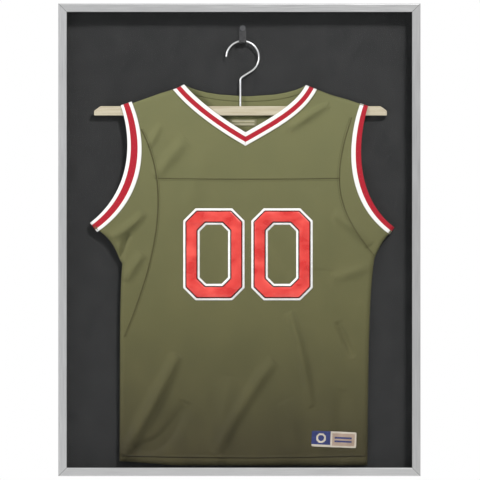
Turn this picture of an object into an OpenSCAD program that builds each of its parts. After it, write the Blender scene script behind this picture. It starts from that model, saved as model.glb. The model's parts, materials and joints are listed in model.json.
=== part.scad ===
// Jersey display frame: wall-hung aluminium case, hinged clear door, hanger and jersey.
// Millimetres. X to the right, +Z up, the wall at Y = 0 and the front towards -Y.
// The origin is on the wall plane, midway between the seats of the two keyhole plates.

/* [Overall size] */
// Width across the door frame
frame_w = 613; // [505:1:740]
// Height of the door frame
frame_h = 800; // [665:1:965]
// Depth from the wall to the front face
frame_d = 42; // [40:1:60]

/* [Door frame] */
// Width of the aluminium face seen from the front
face_w = 14; // [12:0.5:18]
// Thickness of the face and of the door's flanges
face_t = 1.6; // [1.2:0.1:2]
// Front-to-back depth of the door frame
door_d = 11; // [9:0.5:14]
// Width of the closed tube behind the face
tube_w = 9.5; // [9:0.5:10.5]
// Wall thickness of the door tube
tube_t = 1.4; // [1:0.1:1.6]
// Rounding of the outer front edge
edge_r = 1.4; // [0.8:0.1:1.4]
// Thickness of the acrylic front
acrylic_t = 2.5; // [2:0.5:4]
// Width of the black bead round the acrylic
bead_w = 1; // [0.8:0.1:1.6]
// Arm length of the L-keys in the door's corners
key_arm = 38; // [25:1:60]

/* [Case] */
// How far the case stands in from the door's outer edge
case_inset = 4.5; // [4.5:0.1:6]
// Thickness of the case's outer wall and rear ledge
case_t = 1.6; // [1.4:0.1:2]
// Gap between the case and the closed door
door_gap = 1.2; // [1:0.1:1.5]
// Depth of the recess behind the rear ledge
recess_d = 6; // [5.5:0.1:7]
// Width of the rear ledge
ledge_w = 16; // [15:0.5:20]
// Width of the front lip
lip_w = 6.5; // [6:0.1:8]
// Thickness of the hardboard back
panel_t = 3; // [2.5:0.5:4]
// Thickness of the felt lining
felt_t = 1.5; // [1:0.5:2]
// Width of the foam seal on the front lip
seal_w = 4; // [3:0.5:5]
// Thickness of the foam seal
seal_t = 0.8; // [0.4:0.1:0.8]

/* [Fasteners and catches] */
// Radius of the small screws' shanks
screw_r = 1.3; // [1:0.1:1.5]
// Radius of the small screws' heads
screw_head_r = 2.6; // [2.2:0.1:3]
// Height of the small screws' heads
screw_head_h = 1.4; // [1:0.1:1.6]
// Pitch aimed at between the back panel's screws
screw_pitch = 180; // [120:5:240]
// Arm length of the corner plates on the back
plate_arm = 40; // [32:1:60]
// Width of a corner plate's arm
plate_w = 11; // [10:0.5:12]
// Length of a magnetic catch and its strike
catch_l = 38; // [25:1:50]
// Distance of each catch from the nearer end
catch_inset = 150; // [100:5:200]

/* [Wall hanging] */
// Distance of each keyhole from the case's side
hang_in = 92; // [85:1:150]
// Depth of the screw seat below the door's top edge
hang_drop = 15; // [14:0.5:17]
// Radius of the round entry of a keyhole
key_entry_r = 4.75; // [4:0.25:5.5]
// Radius of a keyhole's narrow slot
key_slot_r = 2.5; // [2.25:0.25:2.75]
// Distance from the entry's centre up to the seat
key_travel = 11; // [9:0.5:13]
// Thickness of the keyhole plate
key_plate_t = 1.2; // [1:0.1:1.5]

/* [Hinges] */
// Length of a hinge
hinge_l = 60; // [45:1:80]
// Distance of the outer hinges from the frame's ends
hinge_inset = 95; // [70:5:130]
// Knuckle radius
knuckle_r = 2; // [1.7:0.1:2]
// Pin radius
pin_r = 0.9; // [0.8:0.05:1]
// Thickness of the leaves
leaf_t = 1; // [0.8:0.1:1]
// Depth of the case leaf along the case wall
leaf_d = 15; // [12:0.5:18]

/* [Hook] */
// Sideways place of the J-hook and the hanger's hook
hook_x = 5.5; // [-20:0.5:20]
// Distance of the J-hook's top below the case's ceiling
hook_drop = 28.5; // [20:0.5:40]
// Width of the J-hook
j_w = 12; // [10:0.5:14]
// Thickness of the J-hook's strip
j_t = 1.8; // [1.5:0.1:2]
// Height of the J-hook from its top to its trough
j_h = 30.3; // [26:0.1:36]
// Height of the J-hook's front lip above the trough
j_lip = 9; // [8:0.5:12]
// Width of the J-hook's front lip
j_lip_w = 9; // [7:0.5:10]
// Distance from the felt to the middle of the wire
reach = 8.5; // [8:0.1:12]
// Radius of the J-hook's screw head
j_screw_head_r = 4.4; // [3.6:0.1:4.6]
// Radius of the J-hook's screw shank
j_screw_r = 1.9; // [1.5:0.1:2.2]

/* [Hanger] */
// Radius of the hanger's wire
wire_r = 1.4; // [1.2:0.1:1.6]
// Radius of the hook's curve along the wire's middle
curl_r = 27.8; // [24:0.1:32]
// Distance of the straight stem to the left of the hook's centre
stem_off = 3.7; // [0:0.1:8]
// Bend between the hook and the stem
stem_bend_r = 8; // [6:0.5:10]
// Distance from the hook's centre down to the bar
stem_h = 83; // [70:0.5:95]
// Gap between the bar's ends and the case walls
bar_gap = 52; // [45:0.5:60]
// Height of the wooden bar
bar_h = 16; // [13:0.5:20]
// Thickness of the wooden bar
bar_t = 8; // [7:0.5:9]
// Length of the sloped top corners of the bar
bar_slope_l = 11; // [8:0.5:16]
// Drop of the sloped top corners of the bar
bar_slope_h = 8; // [6:0.5:10]
// Depth that the wire goes into the bar
wire_sink = 12; // [8:0.5:13]

/* [Jersey] */
// Sideways place of the jersey's middle
jersey_x = 6.5; // [0:0.5:12]
// Gap between the case's floor and the hem
hem_gap = 11.3; // [10.5:0.1:20]
// Gap between the case walls and the jersey's sides
side_gap = 88; // [75:1:100]
// Thickness of the fabric
fabric_t = 1.2; // [0.8:0.1:1.4]
// Gap between the bar and the fabric
fabric_gap = 0.4; // [0.3:0.1:0.6]
// Inset of the shoulder ends from the sides
shoulder_in = 1.5; // [0:0.5:12]
// Rise of the shoulders from their ends to the neck
shoulder_rise = 35; // [25:0.5:40]
// Half the width of the neck opening
neck_half = 96; // [85:1:105]
// Depth of the V-neck
neck_drop = 81; // [60:1:95]
// Depth of the back neck
back_neck_drop = 22; // [14:1:30]
// Width of the neck trim
neck_trim_w = 19; // [14:0.5:22]
// Depth of the armholes below the shoulder ends
armhole_drop = 203; // [180:1:220]
// How far the armholes' lower corners stand out from the sides
armhole_out = 46; // [38:1:46]
// Width of the arm trims
arm_trim_w = 22; // [16:0.5:26]

/* [Number and labels] */
// Width of a digit
digit_w = 104; // [86:1:120]
// Height of a digit
digit_h = 156; // [130:1:180]
// Gap between the digits
digit_gap = 11.5; // [8:0.5:16]
// Width of a digit's strokes
stroke = 28; // [23:0.5:33]
// Width of the white border round the red
border = 5; // [4:0.5:6]
// Distance from the shoulder ends down to the digits
digit_drop = 175; // [150:1:185]
// Distance of the number's middle to the right of the jersey's
digit_shift = 8; // [0:0.5:10]
// Width of the hem tag
tag_w = 76; // [63:1:90]
// Height of the hem tag
tag_h = 27; // [22:0.5:32]
// Distance of the hem tag from the jersey's side
tag_side_gap = 20.5; // [15:0.5:30]
// Height of the hem tag's middle above the hem
tag_rise = 44; // [35:0.5:60]
// Width of the neck label
label_w = 44; // [36:1:52]
// Height of the neck label
label_h = 12; // [10:0.5:14]

/* [Hidden] */
$fn = 48;
fit_gap = 0.3;          // clearance round boards and keys
hole_gap = 0.05;        // clearance round fixed screws
turn_gap = 0.06;        // running clearance round the hinge pins
seat_gap = 0.35;        // air between the hook and the J-hook's trough
cloth_t = 0.6;          // thickness of sewn-on layers
curve_steps = 10;       // segments in a curved edge
hinge_cut = 0.8;        // depth of the case's cut behind a door leaf
knuckle_gap = 0.4;      // gap between neighbouring knuckles
end_open = 0.6;         // extra length of the case's hinge cuts
tag_turn = 2.3;         // slope of the hem tag
tag_r = 2;              // corner radius of the labels
pad_w = 30;             // raised pad of a keyhole plate
pad_h = 24;
pad_back_y = -1.4;
pad_above = 7;          // pad above the screw seat
tab_w = 11;             // fixing tabs of a keyhole plate
tab_h = 10;
door_leaf_t = leaf_t - 0.1;
leaf_screw_r = 0.9;     // screws of the door leaves
leaf_screw_in = 1.7;    // their distance from the tube's inner edge
catch_w = 5;
catch_d = 8;
strike_w = 4;
strike_t = 0.8;
curl_start = 176;       // angle of the hook's tip
curl_end = -58;         // angle where the curl leaves for the stem
curl_steps = 26;
bend_steps = 6;
wire_sides = 12;
over = 1;               // overshoot of cutting tools

case_w = frame_w - 2 * case_inset;
case_h = frame_h - 2 * case_inset;
door_back_y = -(frame_d - door_d);
case_front_y = door_back_y + door_gap;
case_d = -case_front_y;
panel_back_y = -(recess_d + case_t);
felt_back_y = panel_back_y - panel_t;
felt_y = felt_back_y - felt_t;
panel_w = case_w - 2 * (case_t + fit_gap);
panel_h = case_h - 2 * (case_t + fit_gap);
floor_z = case_inset + case_t;
ceiling_z = frame_h - floor_z;
seat_z = frame_h - hang_drop;
glass_y = -(frame_d - face_t);
glass_slot = acrylic_t + 0.1;
glass_w = frame_w - 2 * (tube_w + fit_gap);
glass_h = frame_h - 2 * (tube_w + fit_gap);

wire_y = felt_y - reach;
j_top_z = ceiling_z - hook_drop;
trough_z = j_top_z - j_h;
trough_r = reach - j_t;
curl_z = trough_z + seat_gap - sqrt(pow(curl_r - wire_r, 2) - pow(j_w / 2, 2));
stem_x = hook_x - stem_off;
bar_top_z = curl_z - stem_h;
bar_len = case_w - 2 * case_t - 2 * bar_gap;

body_half = case_w / 2 - case_t - side_gap;
shoulder_half = body_half - shoulder_in;
tip_half = body_half + armhole_out;
hem_z = floor_z + hem_gap;
shoulder_z = bar_top_z + fabric_gap + fabric_t;
neck_z = shoulder_z + shoulder_rise;
tip_z = shoulder_z - armhole_drop;
front_y = wire_y - bar_t / 2 - fabric_gap;
back_y = wire_y + bar_t / 2 + fabric_gap;
digit_z = shoulder_z - digit_drop - digit_h / 2;
tag_x = jersey_x + body_half - tag_side_gap - tag_w / 2;
tag_z = hem_z + tag_rise;
number_y = front_y - fabric_t;

axis_x = -frame_w / 2 + case_inset - knuckle_r - knuckle_gap;
axis_y = door_back_y + knuckle_r + knuckle_gap;
hang_half = case_w / 2 - hang_in;   // from the middle out to each keyhole
case_out_x = -case_w / 2;
hinge_zs = [hinge_inset, frame_h / 2, frame_h - hinge_inset];
end_knuckle_l = hinge_l / 4;
catch_zs = [catch_inset, frame_h - catch_inset];
strike_x = case_w / 2 - catch_w / 2;
door_leaf_screw_x = -frame_w / 2 + tube_w - leaf_screw_in;
j_screw_z = j_top_z - j_w / 2;

screw_in = case_t + (ledge_w - case_t) / 2;
plate_in = screw_in - plate_w / 2;
plate_screw = plate_arm - screw_head_r;
pilot_y = panel_back_y - panel_t * 0.6;
tab_x = pad_w / 2 + tab_w / 2;
tab_z = frame_h - case_inset - screw_in;
pad_top_z = seat_z + pad_above;

// ---------- placing ----------

// Moves children drawn from the frame's bottom edge to the origin at the keyhole seats.
module from_bottom() {
  translate([0, 0, -seat_z]) children();
}

// Copies children to both sides of the middle plane.
module both_sides() {
  children();
  mirror([1, 0, 0]) children();
}

// Extrudes an X-Z outline backwards (towards +Y) from y.
module slab(y, thickness) {
  translate([0, y + thickness, 0]) rotate([90, 0, 0]) linear_extrude(thickness) children();
}

// A round bar along Y, from y0 to y1.
module rod_y(x, z, r, y0, y1) {
  translate([x, y0, z]) rotate([-90, 0, 0]) cylinder(r = r, h = y1 - y0);
}

// Mitred rail along X: a Y-inward section, cut at 45 degrees at both ends.
module mitred(length, reach_in) {
  intersection() {
    translate([-length / 2, 0, 0]) rotate([90, 0, 90]) linear_extrude(length) children();
    slab(-frame_d - over, frame_d + 2 * over)
      polygon([
        [-length / 2, 0],
        [length / 2, 0],
        [length / 2 - reach_in, reach_in],
        [-length / 2 + reach_in, reach_in]
      ]);
  }
}

module at_bottom(inset) {
  translate([0, 0, inset]) children();
}

module at_top(inset) {
  translate([0, 0, frame_h - inset]) rotate([0, 180, 0]) children();
}

module at_left(inset) {
  translate([-frame_w / 2 + inset, 0, frame_h / 2]) rotate([0, 90, 0]) children();
}

module at_right(inset) {
  translate([frame_w / 2 - inset, 0, frame_h / 2]) rotate([0, -90, 0]) children();
}

// ---------- case ----------

module case_section() {
  translate([case_front_y, 0]) square([case_d, case_t]);
  translate([panel_back_y, 0]) square([case_t, ledge_w]);
  translate([case_front_y, 0]) square([case_t, lip_w]);
}

// Evenly spread places along a span, about one screw pitch apart.
function spread(span) =
  let (count = max(1, round(span / screw_pitch)))
  [for (i = [0 : count]) -span / 2 + i * span / count];

// The back panel's screws along the side rails, and along the top and bottom rails, where
// they stay between the keyhole plates.
up_places = spread(case_h - 4 * plate_arm);
across_places = spread(2 * (hang_half - tab_x - tab_w));

module case_rail(length, places) {
  ends = [-length / 2 + plate_screw, length / 2 - plate_screw];
  difference() {
    mitred(length, ledge_w) case_section();
    for (x = concat(places, ends))
      rod_y(x, screw_in, screw_r + hole_gap, panel_back_y - over, -recess_d + over);
  }
}

module case_rail_left() {
  color("silver") from_bottom() difference() {
    at_left(case_inset) case_rail(case_h, up_places);
    for (z = hinge_zs) {
      translate([case_out_x - over, case_front_y - over, z - hinge_l / 2 - end_open])
        cube([lip_w + 2 * over, hinge_cut + over, hinge_l + 2 * end_open]);
      leaf_screw_places(z) rotate([0, 90, 0])
        cylinder(r = screw_r + hole_gap, h = 2 * over + case_t, center = true);
    }
  }
}

module case_rail_right() {
  color("silver") from_bottom() at_right(case_inset) case_rail(case_h, up_places);
}

module case_rail_top() {
  color("silver") from_bottom() difference() {
    at_top(case_inset) case_rail(case_w, across_places);
    tab_screw_places() rod_y(0, 0, screw_r + hole_gap, panel_back_y - over, -recess_d + over);
  }
}

module case_rail_bottom() {
  color("silver") from_bottom() at_bottom(case_inset) case_rail(case_w, across_places);
}

module corner_plate_outline() {
  difference() {
    square([plate_arm, plate_arm]);
    translate([plate_w, plate_w]) square(plate_arm);
  }
}

// Runs children once in each corner of the case, drawn for the lower left one.
module case_corners() {
  both_sides() {
    translate([case_out_x, 0, case_inset]) children();
    translate([case_out_x, 0, frame_h - case_inset]) mirror([0, 0, 1]) children();
  }
}

module corner_plates() {
  color("gainsboro") from_bottom() case_corners() difference() {
    translate([plate_in, 0, plate_in]) slab(-recess_d, case_t) corner_plate_outline();
    rod_y(screw_in, plate_screw, screw_r + hole_gap, -recess_d - over, 0);
    rod_y(plate_screw, screw_in, screw_r + hole_gap, -recess_d - over, 0);
  }
}

// Pan-head screw whose head stands on the plane y and whose shank runs forward.
module rear_screw(x, z, y, grip) {
  rod_y(x, z, screw_r, y - grip, y);
  difference() {
    rod_y(x, z, screw_head_r, y, y + screw_head_h);
    translate([x - screw_head_r - over, y + screw_head_h / 2, z - screw_head_r / 8])
      cube([2 * (screw_head_r + over), screw_head_h, screw_head_r / 4]);
  }
}

module corner_screws() {
  color("silver") from_bottom() case_corners() {
    rear_screw(screw_in, plate_screw, -recess_d + case_t, 2 * case_t + panel_t / 2);
    rear_screw(plate_screw, screw_in, -recess_d + case_t, 2 * case_t + panel_t / 2);
  }
}

// Runs children at each of the back panel's screws, drawn at the origin.
module panel_screw_places() {
  for (x = across_places) {
    translate([x, 0, case_inset + screw_in]) children();
    translate([x, 0, frame_h - case_inset - screw_in]) children();
  }
  for (z = up_places, side = [-1, 1])
    translate([side * (case_w / 2 - screw_in), 0, frame_h / 2 + z]) children();
}

module back_panel() {
  color("sienna") from_bottom() difference() {
    translate([-panel_w / 2, felt_back_y, frame_h / 2 - panel_h / 2])
      cube([panel_w, panel_t, panel_h]);
    panel_screw_places() rod_y(0, 0, screw_r + hole_gap, pilot_y, over);
    case_corners() {
      rod_y(screw_in, plate_screw, screw_r + hole_gap, pilot_y, over);
      rod_y(plate_screw, screw_in, screw_r + hole_gap, pilot_y, over);
    }
    tab_screw_places() rod_y(0, 0, screw_r + hole_gap, pilot_y, over);
    rod_y(hook_x, j_screw_z, j_screw_r + hole_gap, panel_back_y - panel_t - over, panel_back_y + over);
  }
}

module panel_screws() {
  color("silver") from_bottom() panel_screw_places()
    rear_screw(0, 0, -recess_d, case_t + panel_t / 2);
}

module felt_lining() {
  color("dimgray") from_bottom() difference() {
    translate([-panel_w / 2, felt_y, frame_h / 2 - panel_h / 2]) cube([panel_w, felt_t, panel_h]);
    rod_y(hook_x, j_screw_z, j_screw_r + hole_gap, felt_y - over, felt_back_y + over);
  }
}

// Foam on the front lip, along the top, the right and the bottom.
module door_seal() {
  half_w = case_w / 2 - case_t;
  left_end = case_out_x + lip_w + 2;
  color("black") from_bottom() slab(case_front_y - seal_t, seal_t) difference() {
    translate([left_end, case_inset + case_t]) square([half_w - left_end, case_h - 2 * case_t]);
    translate([left_end - over, case_inset + case_t + seal_w])
      square([half_w - left_end + over - seal_w, case_h - 2 * (case_t + seal_w)]);
  }
}

// ---------- wall hanging ----------

// Runs children at the keyhole plates' four screws.
module tab_screw_places() {
  for (side = [-1, 1], end = [-1, 1])
    translate([side * hang_half + end * tab_x, 0, tab_z]) children();
}

module keyhole_plate(x) {
  difference() {
    union() {
      translate([x - pad_w / 2, pad_back_y - key_plate_t, pad_top_z - pad_h])
        cube([pad_w, key_plate_t, pad_h]);
      for (side = [-1, 1])
        translate([x + side * (pad_w / 2 - key_plate_t / 2) - key_plate_t / 2, -recess_d,
          tab_z - tab_h / 2])
          cube([key_plate_t, recess_d + pad_back_y, tab_h]);
      for (side = [-1, 1])
        translate([x + side * tab_x - tab_w / 2 - (side > 0 ? key_plate_t : 0), -recess_d,
          tab_z - tab_h / 2])
          cube([tab_w + key_plate_t, key_plate_t, tab_h]);
    }
    rod_y(x, seat_z - key_travel, key_entry_r, -recess_d, over);
    rod_y(x, seat_z, key_slot_r, pad_back_y - key_plate_t - over, over);
    translate([x - key_slot_r, pad_back_y - key_plate_t - over, seat_z - key_travel])
      cube([2 * key_slot_r, key_plate_t + 2 * over, key_travel]);
    for (side = [-1, 1])
      rod_y(x + side * tab_x, tab_z, screw_r + hole_gap, -recess_d - over, over);
  }
}

module keyhole_plate_left() {
  color("lightsteelblue") from_bottom() keyhole_plate(-hang_half);
}

module keyhole_plate_right() {
  color("lightsteelblue") from_bottom() keyhole_plate(hang_half);
}

module keyhole_screws() {
  color("silver") from_bottom() tab_screw_places()
    rear_screw(0, 0, -recess_d + key_plate_t, key_plate_t + case_t + panel_t / 2);
}

// ---------- hinges ----------

// Runs children at a case leaf's two screws, on the case wall's outer face.
module leaf_screw_places(z) {
  for (end = [-1, 1])
    translate([case_out_x, axis_y + leaf_d / 2, z + end * (hinge_l / 2 - end_knuckle_l / 2)])
      children();
}

module knuckle(z0, z1, bore_r) {
  translate([axis_x, axis_y, z0]) difference() {
    cylinder(r = knuckle_r, h = z1 - z0);
    translate([0, 0, -over]) cylinder(r = bore_r, h = z1 - z0 + 2 * over);
  }
}

module case_leaf(z) {
  low = z - hinge_l / 2;
  high = z + hinge_l / 2;
  clear_y = axis_y + knuckle_r + knuckle_gap;
  difference() {
    union() {
      translate([case_out_x - leaf_t, axis_y, low]) cube([leaf_t, leaf_d, hinge_l]);
      for (z0 = [low, high - end_knuckle_l])
        translate([axis_x, axis_y, z0]) cylinder(r = knuckle_r, h = end_knuckle_l);
    }
    translate([axis_x, axis_y, low - over])
      cylinder(r = pin_r + hole_gap / 2, h = hinge_l + 2 * over);
    translate([case_out_x - leaf_t - over, axis_y - over, low + end_knuckle_l])
      cube([leaf_t + 2 * over, clear_y - axis_y + over, hinge_l - 2 * end_knuckle_l]);
    leaf_screw_places(z) rotate([0, 90, 0])
      cylinder(r = screw_r + hole_gap, h = 4 * leaf_t, center = true);
  }
}

module case_leaf_bottom() {
  color("gray") from_bottom() case_leaf(hinge_zs[0]);
}

module case_leaf_middle() {
  color("gray") from_bottom() case_leaf(hinge_zs[1]);
}

module case_leaf_top() {
  color("gray") from_bottom() case_leaf(hinge_zs[2]);
}

module case_leaf_screws() {
  color("silver") from_bottom()
    for (z = hinge_zs) leaf_screw_places(z) rotate([0, 90, 0]) {
      translate([0, 0, -leaf_t]) cylinder(r = screw_r, h = leaf_t + case_t + over);
      translate([0, 0, -leaf_t - screw_head_h / 2]) cylinder(r = screw_head_r, h = screw_head_h / 2);
    }
}

module hinge_pins() {
  color("silver") from_bottom()
    for (z = hinge_zs)
      translate([axis_x, axis_y, z - hinge_l / 2]) cylinder(r = pin_r, h = hinge_l);
}

module door_leaf(z) {
  low = z - hinge_l / 2 + end_knuckle_l + knuckle_gap;
  high = z + hinge_l / 2 - end_knuckle_l - knuckle_gap;
  plate_x = axis_x + knuckle_r + knuckle_gap;
  right_x = -frame_w / 2 + tube_w;
  difference() {
    union() {
      translate([plate_x, door_back_y, z - hinge_l / 2])
        cube([right_x - plate_x, door_leaf_t, hinge_l]);
      translate([axis_x, door_back_y, low]) cube([right_x - axis_x, door_leaf_t, high - low]);
      translate([axis_x, axis_y, low]) cylinder(r = knuckle_r, h = high - low);
    }
    translate([axis_x, axis_y, low - over]) cylinder(r = pin_r + turn_gap, h = high - low + 2 * over);
    door_leaf_screw_places(z) cylinder(r = leaf_screw_r + hole_gap, h = 4 * leaf_t, center = true);
  }
}

// Runs children at a door leaf's two screws, turned so that +Z points to the wall.
module door_leaf_screw_places(z) {
  for (end = [-1, 1])
    translate([door_leaf_screw_x, door_back_y, z + end * (hinge_l / 2 - end_knuckle_l / 2)])
      rotate([-90, 0, 0]) children();
}

module door_leaf_bottom() {
  color("gray") from_bottom() door_leaf(hinge_zs[0]);
}

module door_leaf_middle() {
  color("gray") from_bottom() door_leaf(hinge_zs[1]);
}

module door_leaf_top() {
  color("gray") from_bottom() door_leaf(hinge_zs[2]);
}

// Flush-headed screws, level with the leaf, into the door tube's rear wall.
module door_leaf_screws() {
  color("silver") from_bottom()
    for (z = hinge_zs) door_leaf_screw_places(z)
      translate([0, 0, -tube_t - over]) cylinder(r = leaf_screw_r, h = tube_t + over + door_leaf_t);
}

// ---------- catches ----------

module catch_block(z) {
  translate([case_w / 2 - case_t - catch_w, case_front_y + case_t, z - catch_l / 2])
    cube([catch_w, catch_d, catch_l]);
}

module catch_lower() {
  color("dimgray") from_bottom() catch_block(catch_zs[0]);
}

module catch_upper() {
  color("dimgray") from_bottom() catch_block(catch_zs[1]);
}

module strike(z, gap) {
  translate([strike_x - strike_w / 2 - gap, door_back_y - strike_t - gap, z - catch_l / 2 - gap])
    cube([strike_w + 2 * gap, strike_t + gap + (gap > 0 ? over : 0), catch_l + 2 * gap]);
}

module strike_lower() {
  color("silver") from_bottom() strike(catch_zs[0], 0);
}

module strike_upper() {
  color("silver") from_bottom() strike(catch_zs[1], 0);
}

// ---------- door ----------

module corner_round(r) {
  difference() {
    translate([-over, -over]) square(r + over);
    translate([r, r]) circle(r);
  }
}

module door_section() {
  translate([-frame_d, 0]) difference() {
    union() {
      square([face_t, face_w]);
      square([door_d, tube_w]);
      translate([face_t + glass_slot, 0]) square([face_t, face_w]);
    }
    translate([face_t, tube_t]) square([door_d - face_t - tube_t, tube_w - 2 * tube_t]);
    corner_round(edge_r);
    translate([0, face_w]) mirror([0, 1]) corner_round(face_t / 2);
  }
}

module door_rail(length) {
  mitred(length, face_w) door_section();
}

module door_rail_left() {
  color("lightgray") from_bottom() difference() {
    at_left(0) door_rail(frame_h);
    for (z = hinge_zs) door_leaf_screw_places(z)
      translate([0, 0, -tube_t - over]) cylinder(r = leaf_screw_r + hole_gap, h = tube_t + 2 * over);
  }
}

module door_rail_right() {
  color("lightgray") from_bottom() difference() {
    at_right(0) door_rail(frame_h);
    for (z = catch_zs) strike(z, hole_gap);
  }
}

module door_rail_top() {
  color("lightgray") from_bottom() at_top(0) door_rail(frame_w);
}

module door_rail_bottom() {
  color("lightgray") from_bottom() at_bottom(0) door_rail(frame_w);
}

// L-keys in the door tubes' channels, one in each corner.
module corner_keys() {
  key_gap = 0.1;
  start = tube_t + key_gap;
  width = tube_w - 2 * start;
  depth = door_d - face_t - tube_t - 2 * key_gap;
  color("gray") from_bottom() both_sides() for (flip = [0, 1])
    translate([-frame_w / 2, 0, flip * frame_h]) mirror([0, 0, flip])
      slab(-frame_d + face_t + key_gap, depth) difference() {
        translate([start, start]) square(key_arm);
        translate([start + width, start + width]) square(key_arm);
      }
}

module acrylic_panel() {
  color("lightcyan", 0.25) from_bottom()
    translate([-glass_w / 2, glass_y, frame_h / 2 - glass_h / 2])
      cube([glass_w, acrylic_t, glass_h]);
}

// Thin bead between the face's inner edge and the acrylic's front.
module glazing_bead() {
  sight_w = frame_w - 2 * face_w;
  sight_h = frame_h - 2 * face_w;
  color("black") from_bottom() slab(glass_y - bead_w, bead_w) translate([0, frame_h / 2])
    difference() {
      square([sight_w, sight_h], center = true);
      square([sight_w - 2 * bead_w, sight_h - 2 * bead_w], center = true);
    }
}

// ---------- J-hook ----------

module j_hook() {
  color("dimgray") from_bottom() difference() {
    union() {
      translate([hook_x - j_w / 2, felt_y - j_t, trough_z + trough_r])
        cube([j_w, j_t, j_h - trough_r - j_w / 2]);
      rod_y(hook_x, j_screw_z, j_w / 2, felt_y - j_t, felt_y);
      translate([hook_x - j_w / 2, wire_y, trough_z + trough_r]) rotate([0, 90, 0]) difference() {
        cylinder(r = reach, h = j_w);
        translate([0, 0, -over]) cylinder(r = trough_r, h = j_w + 2 * over);
        translate([-2 * reach, -2 * reach, -over]) cube([2 * reach, 4 * reach, j_w + 2 * over]);
      }
      translate([hook_x - j_lip_w / 2, wire_y - reach, trough_z + trough_r])
        cube([j_lip_w, j_t, j_lip - trough_r]);
    }
    rod_y(hook_x, j_screw_z, j_screw_r + hole_gap, felt_y - 2 * j_t, felt_y + over);
  }
}

module j_hook_screw() {
  head_h = 2.2;
  head_y = felt_y - j_t - head_h;
  slot_w = 1;
  color("gray") from_bottom() difference() {
    union() {
      rod_y(hook_x, j_screw_z, j_screw_r, felt_y - j_t, panel_back_y - fit_gap);
      rod_y(hook_x, j_screw_z, j_screw_head_r, head_y, felt_y - j_t);
    }
    translate([hook_x, head_y, j_screw_z]) rotate([0, 45, 0])
      cube([3 * j_screw_head_r, head_h, slot_w], center = true);
  }
}

// ---------- hanger ----------

function turned(a) = [cos(a), sin(a)];

// One station of the wire's route: place, heading and radius.
function station(p, heading, r) = [p[0], p[1], heading, r];

// The hook's route from its domed tip, round the curl and the bend, down into the bar.
function hook_route() =
  let (centre = [hook_x, curl_z],
    dir = turned(curl_end - 90),
    leave = centre + curl_r * turned(curl_end),
    run = (stem_x + stem_bend_r * (1 + dir[1]) - leave[0]) / dir[0],
    bend_centre = leave + run * dir + stem_bend_r * turned(curl_end),
    tip = centre + curl_r * turned(curl_start))
  concat(
    [for (t = [0.95, 0.7, 0.35])
      station(tip + t * wire_r * turned(curl_start + 90), curl_start - 90, wire_r * sqrt(1 - t * t))],
    [for (i = [0 : curl_steps])
      let (a = curl_start + (curl_end - curl_start) * i / curl_steps)
      station(centre + curl_r * turned(a), a - 90, wire_r)],
    [for (i = [0 : bend_steps])
      let (a = 180 + curl_end - curl_end * i / bend_steps)
      station(bend_centre + stem_bend_r * turned(a), a + 90, wire_r)],
    [station([stem_x, bar_top_z - wire_sink], 270, wire_r)]
  );

// Round wire swept along stations that lie in the hanger's plane.
module swept_wire(route) {
  last = len(route) - 1;
  points = [for (s = route, j = [0 : wire_sides - 1])
    let (a = 360 * j / wire_sides, n = turned(s[2] + 90))
    [s[0] + s[3] * cos(a) * n[0], wire_y + s[3] * sin(a), s[1] + s[3] * cos(a) * n[1]]];
  walls = [for (i = [0 : last - 1], j = [0 : wire_sides - 1])
    let (k = (j + 1) % wire_sides, m = i * wire_sides)
    each [[m + j, m + k, m + wire_sides + j], [m + k, m + wire_sides + k, m + wire_sides + j]]];
  start_cap = [for (j = [wire_sides - 1 : -1 : 0]) j];
  end_cap = [for (j = [0 : wire_sides - 1]) last * wire_sides + j];
  polyhedron(points, concat([start_cap], walls, [end_cap]));
}

module hanger_hook() {
  color("whitesmoke") from_bottom() swept_wire(hook_route());
}

module hanger_bar() {
  half = bar_len / 2;
  color("wheat") from_bottom() difference() {
    slab(wire_y - bar_t / 2, bar_t) translate([stem_x, bar_top_z - bar_h]) polygon([
      [-half, 0],
      [half, 0],
      [half, bar_h - bar_slope_h],
      [half - bar_slope_l, bar_h],
      [-half + bar_slope_l, bar_h],
      [-half, bar_h - bar_slope_h]
    ]);
    translate([stem_x, wire_y, bar_top_z - wire_sink - hole_gap])
      cylinder(r = wire_r + hole_gap, h = wire_sink + over);
  }
}

// ---------- jersey ----------
// Half outlines run in X (from the jersey's middle) and Z (from the frame's bottom).

function bezier(p, t) =
  pow(1 - t, 3) * p[0] + 3 * t * pow(1 - t, 2) * p[1] + 3 * t * t * (1 - t) * p[2]
    + pow(t, 3) * p[3];

function curve(p) = [for (i = [0 : curve_steps]) bezier(p, i / curve_steps)];

function backwards(p) = [for (i = [len(p) - 1 : -1 : 0]) p[i]];

function mirrored(p) = [for (q = backwards(p)) [-q[0], q[1]]];

// Armhole edge, from the shoulder's end to the lower corner; inset moves it onto the panel.
function armhole(inset) =
  let (top = [shoulder_half - 0.86 * inset, shoulder_z + 0.28 * inset],
    low = [tip_half - 0.5 * inset, tip_z - 0.5 * inset])
  curve([
    top,
    [top[0] - 20 - 0.2 * inset, top[1] - 0.3 * armhole_drop],
    [top[0] - 23, low[1] + 0.25 * armhole_drop],
    low
  ]);

// Front neck edge, from the V up to the shoulder; inset moves it onto the panel.
function neck(inset) = curve([
  [0, neck_z - neck_drop - 1.25 * inset],
  [0.36 * neck_half, neck_z - 0.72 * neck_drop - 0.9 * inset],
  [0.74 * neck_half + 0.4 * inset, neck_z - 0.36 * neck_drop - 0.7 * inset],
  [neck_half + 0.93 * inset, neck_z - 0.36 * inset]
]);

function back_neck() = curve([
  [0, neck_z - back_neck_drop],
  [0.4 * neck_half, neck_z - back_neck_drop],
  [0.8 * neck_half, neck_z - 0.7 * back_neck_drop],
  [neck_half, neck_z]
]);

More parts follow.
